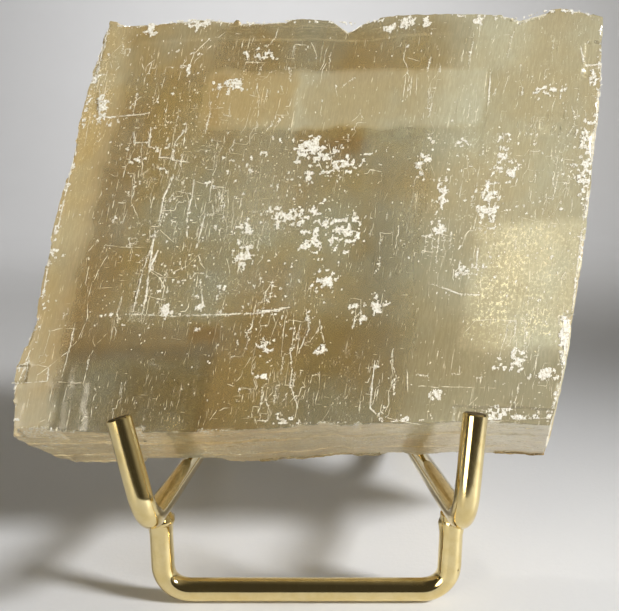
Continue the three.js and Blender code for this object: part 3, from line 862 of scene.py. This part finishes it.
def slab():
    points, quads, scar = slab_mesh()
    piece = mesh_object("calcite_crystal", points, [quads], [calcite_material()], slab_matrix, 28)
    x, y, z = points.T
    front, behind = smooth_step(4, 1.5, y), smooth_step(THICKNESS - 4, THICKNESS - 1.5, y)
    inner = np.minimum(y - front_depth(x, z), THICKNESS - back_depth(x, z) - y)
    frost = smooth_step(0.1, 0.8, inner)
    drop = abs(front_depth(x + LEDGE_REACH, z) - front_depth(x - LEDGE_REACH, z))
    drop = drop + abs(front_depth(x, z + LEDGE_REACH) - front_depth(x, z - LEDGE_REACH))
    scar = np.maximum(scar, 0.15 * front * (1 - frost) * smooth_step(0.15, 0.4, drop))
    under = frost * smooth_step(1.4, 0.4, z + CLEAVAGE_DROP * y)
    for rail_x in RAIL_WINDOWS:
        under = under * (1 - smooth_step(2.9, 2.2, abs(x - rail_x)))
    mirrored = BACK_TURN - x + 2 * SLANT * z

    def on_faces(zones, back_share=1.0):
        turned_over = zone_amount(zones, mirrored, z + BACK_LIFT)
        return front * zone_amount(zones, x, z) + back_share * behind * turned_over

    paint(piece, scar=scar, frost=frost, under=under)
    # Some of these values are painted shade, painted glints and a painted image of the gold backrest seen
    # through the stone.
    paint(piece, crazed=np.maximum(on_faces(CRAZED_ZONES), 0.3 * frost), dusky=on_faces(DUSK_AND_SHADE_ZONES, 0.3))
    paint(piece, rust=on_faces(RUST_AND_ROD_ZONES), cool=on_faces(COOL_ZONES), pale=on_faces(PALE_ZONES))
    paint(piece, glitter=0.8 * on_faces(GLINT_ZONES), chalk=on_faces(CHALK_ZONES))
    paint(piece, stain=on_faces(STAIN_AND_ROD_ZONES), haze=on_faces(HAZE_ZONES) + 0.3 * behind)
    surface_chips(chalk_material(), points, quads, scar)
    return belongs(piece, "calcite", "calcite_slab")


# ------------------------------------------------------------------ places seen in the photograph
PIXELS_PER_MM = 4.0  # on the slab's front
FOCAL = 801.0  # in pixels of the photograph
MIDDLE = (309.5, 305.5)
FACE_HEIGHT = 92.4
# Ledge edges and hairlines of the front face, by the pixels they are seen at.
LEDGE_LINES = [
    [(98, 76), (100, 96), (99, 115), (109, 117), (134, 115), (150, 113)], [(137, 93), (133, 115)],
    [(140, 127), (134, 128), (134, 143), (148, 142)], [(151, 128), (149, 147), (159, 148)],
    [(161, 148), (159, 157), (171, 158)], [(184, 131), (175, 142), (172, 160), (189, 162)],
    [(187, 123), (183, 146)], [(168, 137), (165, 146)], [(176, 162), (173, 178), (164, 196), (159, 221)],
    [(155, 231), (149, 267)], [(194, 180), (192, 196), (187, 214), (187, 237)], [(205, 215), (196, 248)],
    [(150, 250), (142, 273), (133, 312)], [(158, 250), (149, 270), (146, 296), (142, 314)],
    [(131, 314), (171, 316), (206, 315), (260, 313), (290, 307)], [(200, 280), (203, 305), (197, 309)],
    [(29, 357), (22, 383), (47, 381), (48, 367)], [(11, 383), (22, 383)],
    [(580, 44), (584, 62), (587, 65), (601, 63)], [(491, 69), (488, 105)],
    [(462, 253), (459, 267), (455, 272), (475, 274)], [(478, 248), (476, 269)],
    [(432, 284), (452, 291), (460, 294), (480, 295)], [(375, 360), (372, 384), (370, 408), (383, 420)],
    [(290, 349), (292, 369), (290, 384), (298, 408)], [(306, 309), (309, 329), (300, 349)],
    [(597, 112), (591, 165), (584, 215), (577, 268), (572, 312)], [(602, 62), (600, 96)],
    [(568, 345), (560, 385), (552, 412)], [(108, 30), (100, 60), (95, 86)],
    [(75, 150), (66, 190), (58, 225)], [(48, 262), (42, 300)], [(30, 350), (18, 380)]]
HAIRLINES = [
    [(150, 198), (151, 203), (149, 240)], [(215, 187), (226, 187)], [(215, 187), (217, 214), (223, 214)],
    [(228, 187), (228, 206), (226, 222), (232, 222)], [(194, 181), (205, 184), (215, 180)],
    [(90, 112), (84, 146)], [(107, 121), (104, 133), (98, 142)], [(109, 247), (146, 247)],
    [(88, 251), (98, 239)], [(251, 33), (247, 51)], [(254, 37), (249, 51)],
    [(229, 21), (228, 30), (219, 37), (211, 38)], [(209, 39), (194, 54), (189, 67)],
    [(133, 174), (131, 199)], [(118, 181), (112, 208)], [(127, 173), (134, 173)],
    [(109, 173), (114, 176), (118, 175)], [(160, 230), (180, 248)], [(194, 255), (205, 269)],
    [(150, 269), (166, 278)],
    [(37, 375), (53, 363), (69, 350), (78, 339), (87, 318), (88, 295), (98, 270), (107, 255)],
    [(50, 331), (43, 355)], [(50, 331), (62, 328), (78, 329)], [(109, 331), (89, 351), (87, 362)],
    [(142, 342), (135, 350)], [(58, 382), (81, 383)], [(149, 270), (160, 278), (167, 278)],
    [(171, 273), (187, 266), (198, 255)], [(198, 255), (206, 271)], [(168, 286), (163, 309)],
    [(228, 286), (222, 309)], [(267, 339), (252, 362)], [(278, 318), (269, 343)], [(285, 318), (281, 357)],
    [(217, 412), (224, 408), (230, 408)], [(39, 422), (48, 418)], [(14, 364), (39, 365), (48, 367)],
    [(406, 75), (403, 98)], [(409, 75), (407, 98)], [(412, 75), (410, 96)], [(417, 74), (416, 96)],
    [(480, 24), (479, 37)], [(577, 103), (578, 121)], [(392, 359), (391, 384)], [(383, 369), (382, 384)],
    [(299, 337), (296, 361)], [(286, 315), (282, 339)], [(488, 422), (547, 418), (554, 414)],
    [(387, 418), (422, 425)], [(418, 386), (496, 388)], [(407, 369), (408, 392)], [(454, 400), (456, 414)],
    [(466, 408), (478, 397)]]
# Chalky patches: pixel of the centre, half width and half height in pixels.
PATCHES = [
    (320, 158, 17, 9), (294, 216, 20, 8), (309, 241, 9, 10), (242, 229, 9, 4), (243, 256, 8, 8),
    (262, 55, 12, 4), (233, 86, 6, 6), (101, 106, 4, 10), (151, 32, 4, 6), (200, 25, 9, 3),
    (137, 160, 4, 2), (303, 179, 4, 4), (326, 222, 14, 4), (347, 236, 6, 12), (217, 88, 4, 3),
    (189, 67, 2, 4), (409, 22, 8, 6), (425, 22, 5, 3), (389, 29, 4, 2), (477, 20, 3, 3), (549, 91, 10, 4),
    (422, 165, 5, 9), (437, 231, 7, 5), (441, 197, 4, 12), (501, 155, 5, 12), (510, 172, 5, 7),
    (488, 205, 8, 20), (586, 139, 8, 13), (584, 170, 7, 19), (460, 272, 5, 5), (430, 146, 4, 4),
    (461, 144, 3, 5), (596, 75, 5, 6), (599, 14, 4, 4), (346, 233, 10, 14), (323, 280, 8, 8),
    (335, 165, 20, 9), (525, 420, 26, 4), (310, 150, 12, 8), (376, 306, 6, 9), (354, 309, 3, 2),
    (319, 350, 5, 3), (361, 320, 4, 3), (437, 395, 7, 3), (463, 271, 7, 4), (516, 359, 7, 6),
    (564, 336, 5, 13), (500, 417, 13, 5), (528, 421, 15, 3), (355, 425, 10, 1), (396, 422, 11, 4),
    (505, 369, 8, 2), (546, 374, 11, 5), (165, 311, 5, 5), (199, 308, 4, 2), (220, 288, 3, 3),
    (239, 257, 4, 4), (267, 314, 7, 3), (266, 348, 6, 5), (263, 377, 4, 2), (39, 307, 4, 5),
    (53, 253, 5, 3), (282, 425, 8, 5), (99, 42, 3, 11), (93, 72, 3, 14), (71, 140, 2, 16), (63, 175, 2, 16)]
# Bundles of fine cracks: left, top, right and bottom pixel, and how many.
CRACK_BUNDLES = [
    (100, 60, 215, 120, 24), (110, 22, 340, 68, 30), (380, 25, 590, 70, 26), (470, 90, 590, 200, 30),
    (125, 125, 235, 225, 60), (135, 180, 235, 312, 54), (235, 195, 278, 300, 46), (250, 305, 325, 405, 54),
    (215, 60, 300, 125, 30), (300, 72, 480, 128, 14), (360, 190, 400, 300, 14), (365, 345, 400, 422, 26),
    (440, 150, 480, 270, 30), (480, 60, 595, 220, 44), (490, 225, 580, 350, 44), (55, 330, 130, 420, 14),
    (180, 385, 300, 428, 26), (300, 370, 440, 425, 20), (420, 350, 555, 425, 34), (25, 290, 60, 400, 10),
    (60, 130, 130, 330, 18), (310, 130, 440, 230, 14)]


def seen_at(pixel):
    """x, z of the point of the slab's front plane that a pixel of the photograph shows."""
    to_slab = slab_matrix.inverted()
    ray = CAMERA_TURN.to_3x3() @ Vector((pixel[0] - MIDDLE[0], MIDDLE[1] - pixel[1], -FOCAL))
    at, ray = to_slab @ CAMERA_AT, to_slab.to_3x3() @ ray
    hit = (at - ray * (at.y / ray.y)) / MM
    return hit.x, hit.z


def on_front(flat):
    return triple(flat[:, 0], front_depth(*flat.T), flat[:, 1])


def front_span(z):
    """The front face's left and right x at heights z."""
    left, right = np.array(LEFT_EDGE[::-1], float), np.array(RIGHT_EDGE, float)
    return np.interp(z, left[:, 1], left[:, 0]), np.interp(z, right[:, 1], right[:, 0])


def on_face(flat):
    """Which points of the front plane lie well inside the front face."""
    x, z = flat.T
    left, right = front_span(z)
    return (x > left + 0.6) & (x < right - 0.8) & (z > 0.3) & (z < FACE_HEIGHT - 0.8)


# ------------------------------------------------------------------ chalky snow
SNOW_CELL = 0.2
SNOW_ACROSS = (-14, 122)  # sheared x and z between which snow can lie
SNOW_UP = (0.3, 94.2)
SNOW_LEVEL = 0.95  # how strong weight and roughness have to be for snow
SNOW_INSET = {False: 0.3, True: 6}  # from the rim, on the front and on the back
SNOW_ROOT = 0.06
RIM_SNOW = 0.68


def snow_weight(along, z):
    """How much chalk there is at sheared x and z: most in the patches, some where flecks gather."""
    weight = 0.35 * zone_amount(FLECK_ZONES, along + SLANT * z, z)
    for u, v, wide, tall in PATCHES:
        middle_x, middle_z = seen_at((u, v))
        apart = (((along - middle_x + SLANT * middle_z) / (wide / PIXELS_PER_MM + 0.2))**2
                 + ((z - middle_z) / (tall / PIXELS_PER_MM + 0.2))**2)
        weight = np.maximum(weight, np.exp(-0.42 * apart))
    return weight


def snow_roughness(along, z):
    """Broken noise with short upright and level streaks."""
    grainy = fractal(pair(along, z) / 0.8, 3, 301)
    upright = fractal(pair(along / 0.45, z / 2.0), 2, 311)
    level = fractal(pair(along / 2.0, z / 0.45), 2, 317)
    return 0.75 * grainy + 0.35 * np.maximum(upright, level)


def join_corners(on):
    """Fills a cell where two others would meet only at a corner."""
    for _ in range(6):
        on[1:, :-1] |= on[:-1, :-1] & on[1:, 1:] & ~on[:-1, 1:]
        on[:-1, :-1] |= on[1:, :-1] & on[:-1, 1:] & ~on[1:, 1:]
    on[-1], on[:, -1] = False, False


def snow_mesh(behind=False):
    """Chalky snow on the front or the back face: closed plates of small jittered cells."""
    a, z = np.meshgrid(np.arange(*SNOW_ACROSS, SNOW_CELL), np.arange(*SNOW_UP, SNOW_CELL), indexing="ij")
    x = a + SLANT * z
    left, right = front_span(z)
    top_x, top_z = np.array(UPPER_EDGE[::-1], float).T
    inset = np.minimum(np.minimum(x - left, right - x), np.interp(x, top_x, top_z) - z)
    turned = SNOW_TURN - a if behind else a
    weight = snow_weight(turned, z)
    if not behind:
        weight = np.maximum(weight, RIM_SNOW * smooth_step(1.9, 0.4, inset))
    on = (weight + 0.8 * snow_roughness(turned, z) > SNOW_LEVEL) & (inset > SNOW_INSET[behind])
    join_corners(on)

    i, j = np.nonzero(on)
    index = np.arange(on.size).reshape(on.shape)
    corners = np.stack([index[i, j], index[i + 1, j], index[i + 1, j + 1], index[i, j + 1]], -1)
    used, number = np.unique(corners, return_inverse=True)
    number = number.reshape(corners.shape)
    jitter = 0.42 * SNOW_CELL
    x = x.ravel()[used] + jitter * (2 * hashed(used, 5) - 1)
    z = z.ravel()[used] + jitter * (2 * hashed(used, 9) - 1)
    lift = 0.03 + 0.06 * hashed(used, 13) + 0.1 * np.clip(weight.ravel()[used] - 0.5, 0, 0.6)
    if behind:
        x, z = x + run_at(x, z) * THICKNESS, z - CLEAVAGE_DROP * THICKNESS
        surface = THICKNESS - back_depth(x, z)
        top_y, foot_y = surface - SNOW_ROOT, surface + lift
    else:
        surface = front_depth(x, z)
        top_y, foot_y = surface - lift, surface + SNOW_ROOT
    points = np.concatenate([triple(x, top_y, z), triple(x, foot_y, z)])
    faces = [number, (number + len(used))[:, ::-1]]
    padded = np.pad(on, 1)
    for k, (step_i, step_j) in enumerate(((0, -1), (1, 0), (0, 1), (-1, 0))):
        rim = ~padded[i + 1 + step_i, j + 1 + step_j]
        p, q = number[rim, k], number[rim, (k + 1) % 4]
        faces.append(np.stack([q, p, p + len(used), q + len(used)], -1))
    return points, faces


# ------------------------------------------------------------------ chips, slivers and cracks
FLECKS = 1000
STREAKS = 1500
GLINT_FLECKS = 900
SLIVER_STEP = 0.3
CRUMB_STEP = 0.2
RIM_CHIPS = 8000
UNDERSIDE_CHIPS = 1500


def chalk_material():
    s = Shader("chalky_break")
    grain = s.noise(s.place(), 1.9, 4, 0.7)
    tone = s.blend(s.attribute("cream"), colour(230, 228, 220), colour(232, 219, 172))
    s.set(Base_Color=s.blend(s.ramp(grain, 0.45, 0.62, 0.0, 0.75), tone, colour(160, 145, 110)))
    s.set(Roughness=s.ramp(grain, 0.3, 0.7, 0.3, 0.6), IOR=STONE_IOR)
    s.bump(grain, 0.0004, 0.8)
    return s.material


def chip_mesh(at, normal, along, length, width, thick, spread):
    """Irregular six-cornered chips lying on a surface: their points and faces."""
    count = len(at)
    normal = unit(normal)
    along = unit(along - normal * (along * normal).sum(-1, keepdims=True))
    side = np.cross(normal, along)
    angles = np.arange(6) * math.pi / 3 + spread.uniform(-0.35, 0.35, (count, 6))
    reach = spread.uniform(0.45, 1.0, (count, 6))
    flat = (along[:, None] * (np.cos(angles) * reach * length[:, None] / 2)[..., None]
            + side[:, None] * (np.sin(angles) * reach * width[:, None] / 2)[..., None])
    lift = spread.uniform(0.3, 1.0, (count, 6, 1)) * thick[:, None, None]
    top = at[:, None] + flat * 0.8 + normal[:, None] * lift
    foot = at[:, None] + flat - normal[:, None] * 0.05
    base = (np.arange(count) * 12)[:, None]
    faces = [base + np.arange(6), base + np.arange(11, 5, -1)]
    for k in range(6):
        after = (k + 1) % 6
        faces.append(base + [k, k + 6, after + 6, after])
    return np.concatenate([top, foot], 1).reshape(-1, 3), faces


def sliver_mesh(line, width, seed):
    """A broken thin ridge along a line of x, z on the front face."""
    count = max(3, int(line_length(line) / SLIVER_STEP))
    flat = resample(line, count)
    flat = flat + 0.06 * pair(fractal(flat * 1.5, 2, seed), fractal(flat * 1.3, 2, seed + 1))
    breadth = width * np.clip(0.75 + 0.9 * fractal(flat * 0.9, 2, seed + 2), 0, 1.6)
    step = np.gradient(flat, axis=0)
    across = unit(pair(-step[:, 1], step[:, 0]) + 1e-9)
    depth = front_depth(*flat.T)
    points, faces, base = [], [], 0
    for run in np.split(np.arange(count + 1), np.flatnonzero(breadth < 0.25 * width)):
        if len(run) < 3:
            continue
        half = 0.5 * breadth[run] * np.sin(np.pi * np.linspace(0.06, 0.94, len(run)))**0.4
        ring = []
        for offset, lift in ((-1, 0.0), (0, 1.0), (1, 0.0), (0, -0.8)):
            place = flat[run] + across[run] * (offset * half)[:, None]
            ring.append(triple(place[:, 0], depth[run] - 0.02 - lift * 0.5 * half, place[:, 1]))
        points.append(np.stack(ring, 1).reshape(-1, 3))
        loops = base + np.arange(4 * len(run)).reshape(-1, 4)
        faces += [band(loops[:-1], loops[1:]), [loops[0], loops[-1][::-1]]]
        base += loops.size
    return points, faces


def chips_piece(name, parts, material):
    """One piece from several sets of points, blocks of faces and cream shares."""
    blocks, base = [], 0
    for points, faces, _ in parts:
        blocks += [np.asarray(block) + base for block in faces]
        base += len(points)
    points = np.concatenate([points for points, _, _ in parts])
    piece = mesh_object(name, points, blocks, [material], slab_matrix, 25)
    paint(piece, cream=np.concatenate([np.broadcast_to(cream, len(points)) for points, _, cream in parts]))
    return belongs(piece, "calcite")


def crack_line(start, length, spread):
    """A crooked crack of short straight runs, most of them along the slanted cleavage."""
    line = [start]
    while length > 0:
        run = min(length, spread.gamma(2.0, 0.7) + 0.3)
        heading = math.atan(SLANT) + spread.normal(0, 0.1) + spread.choice([0, 0, 0, 0, 0, 0.5, -0.5, 1.5])
        line.append(line[-1] - run * np.array([math.sin(heading), math.cos(heading)]))
        length -= run
    return line


def crack_lines(spread):
    """The cracks of all the bundles; some start where another one turns."""
    lines = []
    for left, top, right, bottom, count in CRACK_BUNDLES:
        own = []
        for _ in range(count):
            if own and spread.random() < 0.4:
                earlier = own[spread.integers(len(own))]
                start = earlier[spread.integers(len(earlier))]
            else:
                start = np.array(seen_at((spread.uniform(left, right), spread.uniform(top, bottom))))
            own.append(crack_line(start, spread.gamma(1.6, 2.2) + 0.5, spread))
        lines += own
    return [line for line in lines if on_face(np.array(line)).all()]


def scattered(count, zones, spread, base=0.05):
    """Random points of the front face, gathered in zones."""
    u, v = spread.uniform(0.01, 0.99, (2, count * 14))
    left, right = front_span(v * FACE_HEIGHT)
    flat = pair(left + (right - left) * u, v * FACE_HEIGHT)
    share = base + zone_amount(zones, *flat.T)
    share = share * (0.35 + smooth_step(-0.3, 0.5, fractal(flat / 9, 3, 83)))
    return flat[spread.random(len(flat)) < share * 0.16][:count]


def leaning(count, spread, jitter, level_share):
    """Directions along the slanted cleavage edge, some along the level one."""
    level = spread.random(count) < level_share
    tilt = np.where(level, math.pi / 2, math.atan(SLANT)) + spread.normal(0, jitter, count)
    return triple(np.sin(tilt), np.zeros(count), np.cos(tilt))


def front_chips(flat, length, width, thick, cream, spread, jitter=0.35, level_share=0.3):
    """Chips at points of the front face."""
    count = len(flat)
    normal = [0.0, -1.0, 0.0] + spread.normal(0, 0.1, (count, 3))
    along = leaning(count, spread, jitter, level_share)
    thick = np.full(count, thick)
    return *chip_mesh(on_front(flat), normal, along, length, width, thick, spread), cream


def front_flecks(spread, material):
    parts = [(*snow_mesh(), 0.05), (*snow_mesh(behind=True), 0.15)]
    flat = scattered(FLECKS, FLECK_ZONES, spread)
    size = spread.gamma(1.6, 0.075, len(flat)) + 0.06
    parts.append(front_chips(flat, size * 2.2, size, 0.04, 0.35, spread))
    flat = scattered(STREAKS, STREAK_ZONES, spread)
    length = spread.gamma(1.8, 0.8, len(flat)) + 0.4
    width = spread.uniform(0.05, 0.13, len(flat))
    parts.append(front_chips(flat, length, width, 0.03, 0.4, spread, 0.09, 0.12))
    # Cream chips that stand for painted glints inside the stone.
    flat = scattered(GLINT_FLECKS, GLINT_FLECK_ZONES, spread, 0.0)
    size = spread.gamma(1.8, 0.13, len(flat)) + 0.08
    parts.append(front_chips(flat, size * 1.8, size, 0.03, 0.85, spread))
    chips_piece("front_flecks", parts, material)


def front_lines(spread, material):
    """Crumbs and ridges along the ledges and cracks, and ridges along the hairlines."""
    ledges = [[seen_at(pixel) for pixel in line] for line in LEDGE_LINES]
    hairlines = [[seen_at(pixel) for pixel in line] for line in HAIRLINES]
    cracks = crack_lines(spread)
    parts = []
    for i, line in enumerate(ledges + cracks[::3]):
        flat = resample(line, max(3, int(line_length(line) / CRUMB_STEP)))
        flat = flat + spread.normal(0, 0.12, flat.shape)
        flat = flat[fractal(flat / 2.5, 2, 331) > (-0.4 if i < len(ledges) else -0.1)]
        size = spread.gamma(1.6, 0.08, len(flat)) + 0.07
        parts.append(front_chips(flat, size * 2.2, size, 0.06, 0.15, spread, 0.5))
    kinds = ((ledges, 0.2, 0.38, 0.15), (hairlines, 0.1, 0.18, 0.4), (cracks, 0.05, 0.17, 0.35))
    for lines, thin, wide, cream in kinds:
        for line in lines:
            width = thin + (wide - thin) * spread.random()**1.6
            strips, faces = sliver_mesh(line, width, 200 + 3 * len(parts))
            if strips:
                parts.append((np.concatenate(strips), faces, cream))
    chips_piece("front_ledge_lines", parts, material)


def edge_chips(spread, material, points, quads, scar):
    """Chips on the sides, the back and the broken rims, and slivers on the underside."""
    corners = points[quads]
    centre = corners.mean(1)
    normal = np.cross(corners[:, 2] - corners[:, 0], corners[:, 3] - corners[:, 1])
    area = np.linalg.norm(normal, axis=1) / 2
    broken_here = scar[quads].mean(1)
    side = (abs(normal[:, 1]) / (2 * area + 1e-9) < 0.8) & (centre[:, 1] > 0.15)
    back = centre[:, 1] > THICKNESS - 2.2
    gather = smooth_step(-0.1, 0.7, fractal(centre[:, [0, 2]] / 7 + centre[:, 1:2] / 9, 3, 91))
    rim = side * smooth_step(2.2, 0.3, centre[:, 1])
    weight = side * (0.3 + 1.2 * gather) + rim * 2.0 + back * 0.12 * gather
    weight = area * (weight + broken_here * 1.6 * (0.3 + gather))
    chosen = spread.choice(len(quads), RIM_CHIPS, p=weight / weight.sum(), replace=False)
    along = np.where(side[chosen][:, None], 0, [[SLANT, 0, 1]])  # a side's chips lie any way round
    along = along + spread.normal(0, 0.05, along.shape)
    size = spread.gamma(1.8, 0.13, RIM_CHIPS) + 0.1
    thick = np.full(RIM_CHIPS, 0.05)
    chips = chip_mesh(centre[chosen], unit(normal[chosen]), along, size * 2.4, size, thick, spread)
    parts = [(*chips, np.repeat(spread.random(RIM_CHIPS) * 0.6, 12))]

    below = (normal[:, 2] < -0.6 * np.linalg.norm(normal, axis=1)) & (centre[:, 1] > 0.8)
    covered = np.prod([smooth_step(2.0, 3.2, abs(centre[:, 0] - rail_x)) for rail_x in RAIL_WINDOWS], 0)
    weight = area * below * (0.2 + gather) * covered
    chosen = spread.choice(len(quads), UNDERSIDE_CHIPS, p=weight / weight.sum(), replace=False)
    level = [[1.0, 0, 0]] + spread.normal(0, 0.05, (UNDERSIDE_CHIPS, 3))
    length = spread.gamma(1.8, 0.75, UNDERSIDE_CHIPS) + 0.4
    width = spread.uniform(0.07, 0.24, UNDERSIDE_CHIPS)
    chips = chip_mesh(centre[chosen], unit(normal[chosen]), level, length, width, width * 0.3, spread)
    parts.append((*chips, np.repeat(spread.random(UNDERSIDE_CHIPS), 12)))
    chips_piece("edge_chips", parts, material)


def surface_chips(material, points, quads, scar):
    spread = np.random.default_rng(SEED + 5)
    front_flecks(spread, material)
    front_lines(spread, material)
    edge_chips(spread, material, points, quads, scar)


# ------------------------------------------------------------------ veils inside
VEIL_COLUMNS = 120
VEIL_ROWS = 96
VEIL_INSET = 1.6
VEIL_THICKNESS = 0.12
SHALLOW_VEIL = 6.5
DEEP_VEIL = 20.5


def veil_material():
    s = Shader("inner_veil")
    speck = s.noise(s.place(), 0.55, 4, 0.7)
    tone = s.blend(s.attribute("cool"), PALE, GREY_GREEN)
    # The stain share also carries the painted image of the gold backrest seen through the stone.
    stain_and_rod_share = s.math("MULTIPLY", s.attribute("stain"), s.ramp(speck, 0.1, 0.5, 0.7, 1.2), clamp=True)
    milky = s.attribute("milk") * s.ramp(speck, 0.3, 0.7, 0.5, 1.3)
    s.set(Base_Color=s.blend(stain_and_rod_share, tone, RUST_AND_ROD_TONE), IOR=1.0, Roughness=0.0, Specular_IOR_Level=0.0)
    s.set(Transmission_Weight=s.math("SUBTRACT", 1.0, milky, clamp=True))
    return s.material


def veil(name, depth, material, stain, cool, milk):
    """A thin sheet inside the crystal, along the front cleavage."""
    sides = []
    for edge, count in zip(slab_edges((VEIL_INSET,) * 4), (VEIL_COLUMNS, VEIL_ROWS) * 2):
        sides.append(edge[np.linspace(0, len(edge) - 1, count + 1).round().astype(int)])
    flat = coons(*sides)
    wave = 0.5 * value_noise(flat / 19, 61)
    sheets = [in_depth(flat, depth + wave), in_depth(flat, depth + wave + VEIL_THICKNESS)]
    index = np.arange(wave.size).reshape(wave.shape)
    rim, face = grid_rim(index), grid_faces(index)
    faces = [face, face[:, ::-1] + index.size, band(rim, rim + index.size)]
    points = np.concatenate([sheet.reshape(-1, 3) for sheet in sheets])
    piece = mesh_object(name, points, faces, [material], slab_matrix)
    x, z = np.tile(flat.reshape(-1, 2), (2, 1)).T
    paint(piece, stain=stain(x, z), cool=cool(x, z), milk=milk(x, z))
    return belongs(piece, "calcite")


def veils():
    """The stained and cloudy zones inside the stone, with a painted image of the gold backrest seen through
    it.
    """
    def stain_and_rod_share(x, z):
        return 0.75 * zone_amount(STAIN_AND_ROD_ZONES, x, z)

    def cooled(x, z):
        return zone_amount(COOL_ZONES, x, z)

    def milky(x, z):
        return 0.18 + 0.4 * zone_amount(HAZE_ZONES, x, z) + 0.2 * zone_amount(COOL_ZONES, x, z)

    def cloud(base, most, seed):
        return lambda x, z: base + most * smooth_step(-0.2, 0.8, fractal(pair(x / 26, z / 26), 3, seed))

    material = veil_material()
    veil("shallow_veil", SHALLOW_VEIL, material, stain_and_rod_share, cooled, milky)
    veil("deep_veil", DEEP_VEIL, material, cloud(0, 0.35, 71), cloud(0, 0.4, 73), cloud(0.25, 0.3, 79))


# ------------------------------------------------------------------ stage, light, camera
FLOOR_HALF = 2.2
WALL_Y = 1.0
WALL_TOP = 2.2
SWEEP_RADIUS = 0.35
SWEEP_STEPS = 24
BRIGHT_SIDE = (0.8, 0.55, 0.24)
LENS = 46.58  # millimetres, for the same picture as FOCAL pixels
SENSOR_WIDTH = 36.0
FILLS = [  # name, place, target, size, power, tint, spread in degrees
    ("wall_wash", (-0.08, 0.42, 0.75), (-0.04, 1.0, 0.24), 0.8, 4.2, (1, 1, 1), 132),
    ("low_fill", (-0.5, -0.62, 0.16), (0, 0, 0.06), 0.5, 0.54, (1.0, 0.93, 0.78), 60),
    ("back_fill", (-0.2, 0.72, 0.5), (0, 0.03, 0.12), 0.05, 0.016, (1.0, 0.97, 0.92), 12)]


def stage():
    """One sheet of pale card: a floor that sweeps up into the wall."""
    s = Shader("pale_card")
    place = s.place()
    mottle = s.noise(place, 0.012, 3) * 0.6 + s.noise(place, 0.9, 3, 0.7) * 0.4
    s.set(Base_Color=s.blend(mottle, colour(202, 202, 203), colour(210, 210, 211)), Roughness=0.6)
    s.bump(s.noise(place, 0.7, 4, 0.7), 0.0002, 0.35)
    bend_y = WALL_Y - SWEEP_RADIUS
    profile = [(-FLOOR_HALF, 0.0), (bend_y, 0.0)]
    for angle in math.pi / 2 * np.arange(1, SWEEP_STEPS + 1) / SWEEP_STEPS:
        profile.append((bend_y + SWEEP_RADIUS * math.sin(angle), SWEEP_RADIUS * (1 - math.cos(angle))))
    profile.append((WALL_Y, WALL_TOP))
    points = np.array([(x, y, z) for x in (-FLOOR_HALF, FLOOR_HALF) for y, z in profile]) / MM
    index = np.arange(len(points)).reshape(2, -1)
    mesh_object("sweep", points, [grid_faces(index)[:, FLIPPED]], [s.material])


def light(kind, name, at, target, power, tint, **settings):
    data = bpy.data.lights.new(name, kind)
    data.energy, data.color = power, tint
    for setting, value in settings.items():
        setattr(data, setting, value)
    made = bpy.data.objects.new(name, data)
    bpy.context.scene.collection.objects.link(made)
    made.location = at
    made.rotation_euler = (Vector(target) - Vector(at)).to_track_quat("-Z", "Y").to_euler()


def lights():
    """The key light is a soft pool that fades out behind the object on its right."""
    light("SPOT", "window", (0.70, -0.33, 0.48), (-0.06, -0.12, 0.03), 50.0, (0.98, 0.99, 1.0),
          shadow_soft_size=0.1, spot_size=math.radians(42), spot_blend=0.7)
    for name, at, target, size, power, tint, spread in FILLS:
        light("AREA", name, at, target, power, tint, shape="DISK", size=size, spread=math.radians(spread))


def world():
    """A warm glow from one side, which the camera itself sees as plain grey."""
    made = bpy.data.worlds.new("studio")
    bpy.context.scene.world = made
    made.use_nodes = True
    s = Nodes(made.node_tree)
    sides = {0: s.node("TexCoord", {}), 1: BRIGHT_SIDE}
    facing = s.node("VectorMath", sides, output=1, operation="DOT_PRODUCT")
    seen = s.node("LightPath", {})
    background = s.tree.nodes["Background"]
    s.put(background.inputs["Strength"], s.larger(seen, s.ramp(facing, 0.0, 0.9, 0.075, 0.5)))
    s.put(background.inputs["Color"], s.blend(seen, colour(208, 197, 172), colour(92, 90, 87)))


def camera():
    """The camera fitted to the photograph."""
    data = bpy.data.cameras.new("camera")
    data.lens, data.sensor_width, data.clip_start = LENS, SENSOR_WIDTH, 0.01
    made = bpy.data.objects.new("camera", data)
    bpy.context.scene.collection.objects.link(made)
    made.matrix_world = Matrix.Translation(CAMERA_AT) @ CAMERA_TURN
    bpy.context.scene.camera = made


stand()
slab()
veils()
stage()
lights()
world()
camera()
bpy.context.scene.view_settings.view_transform = "Standard"
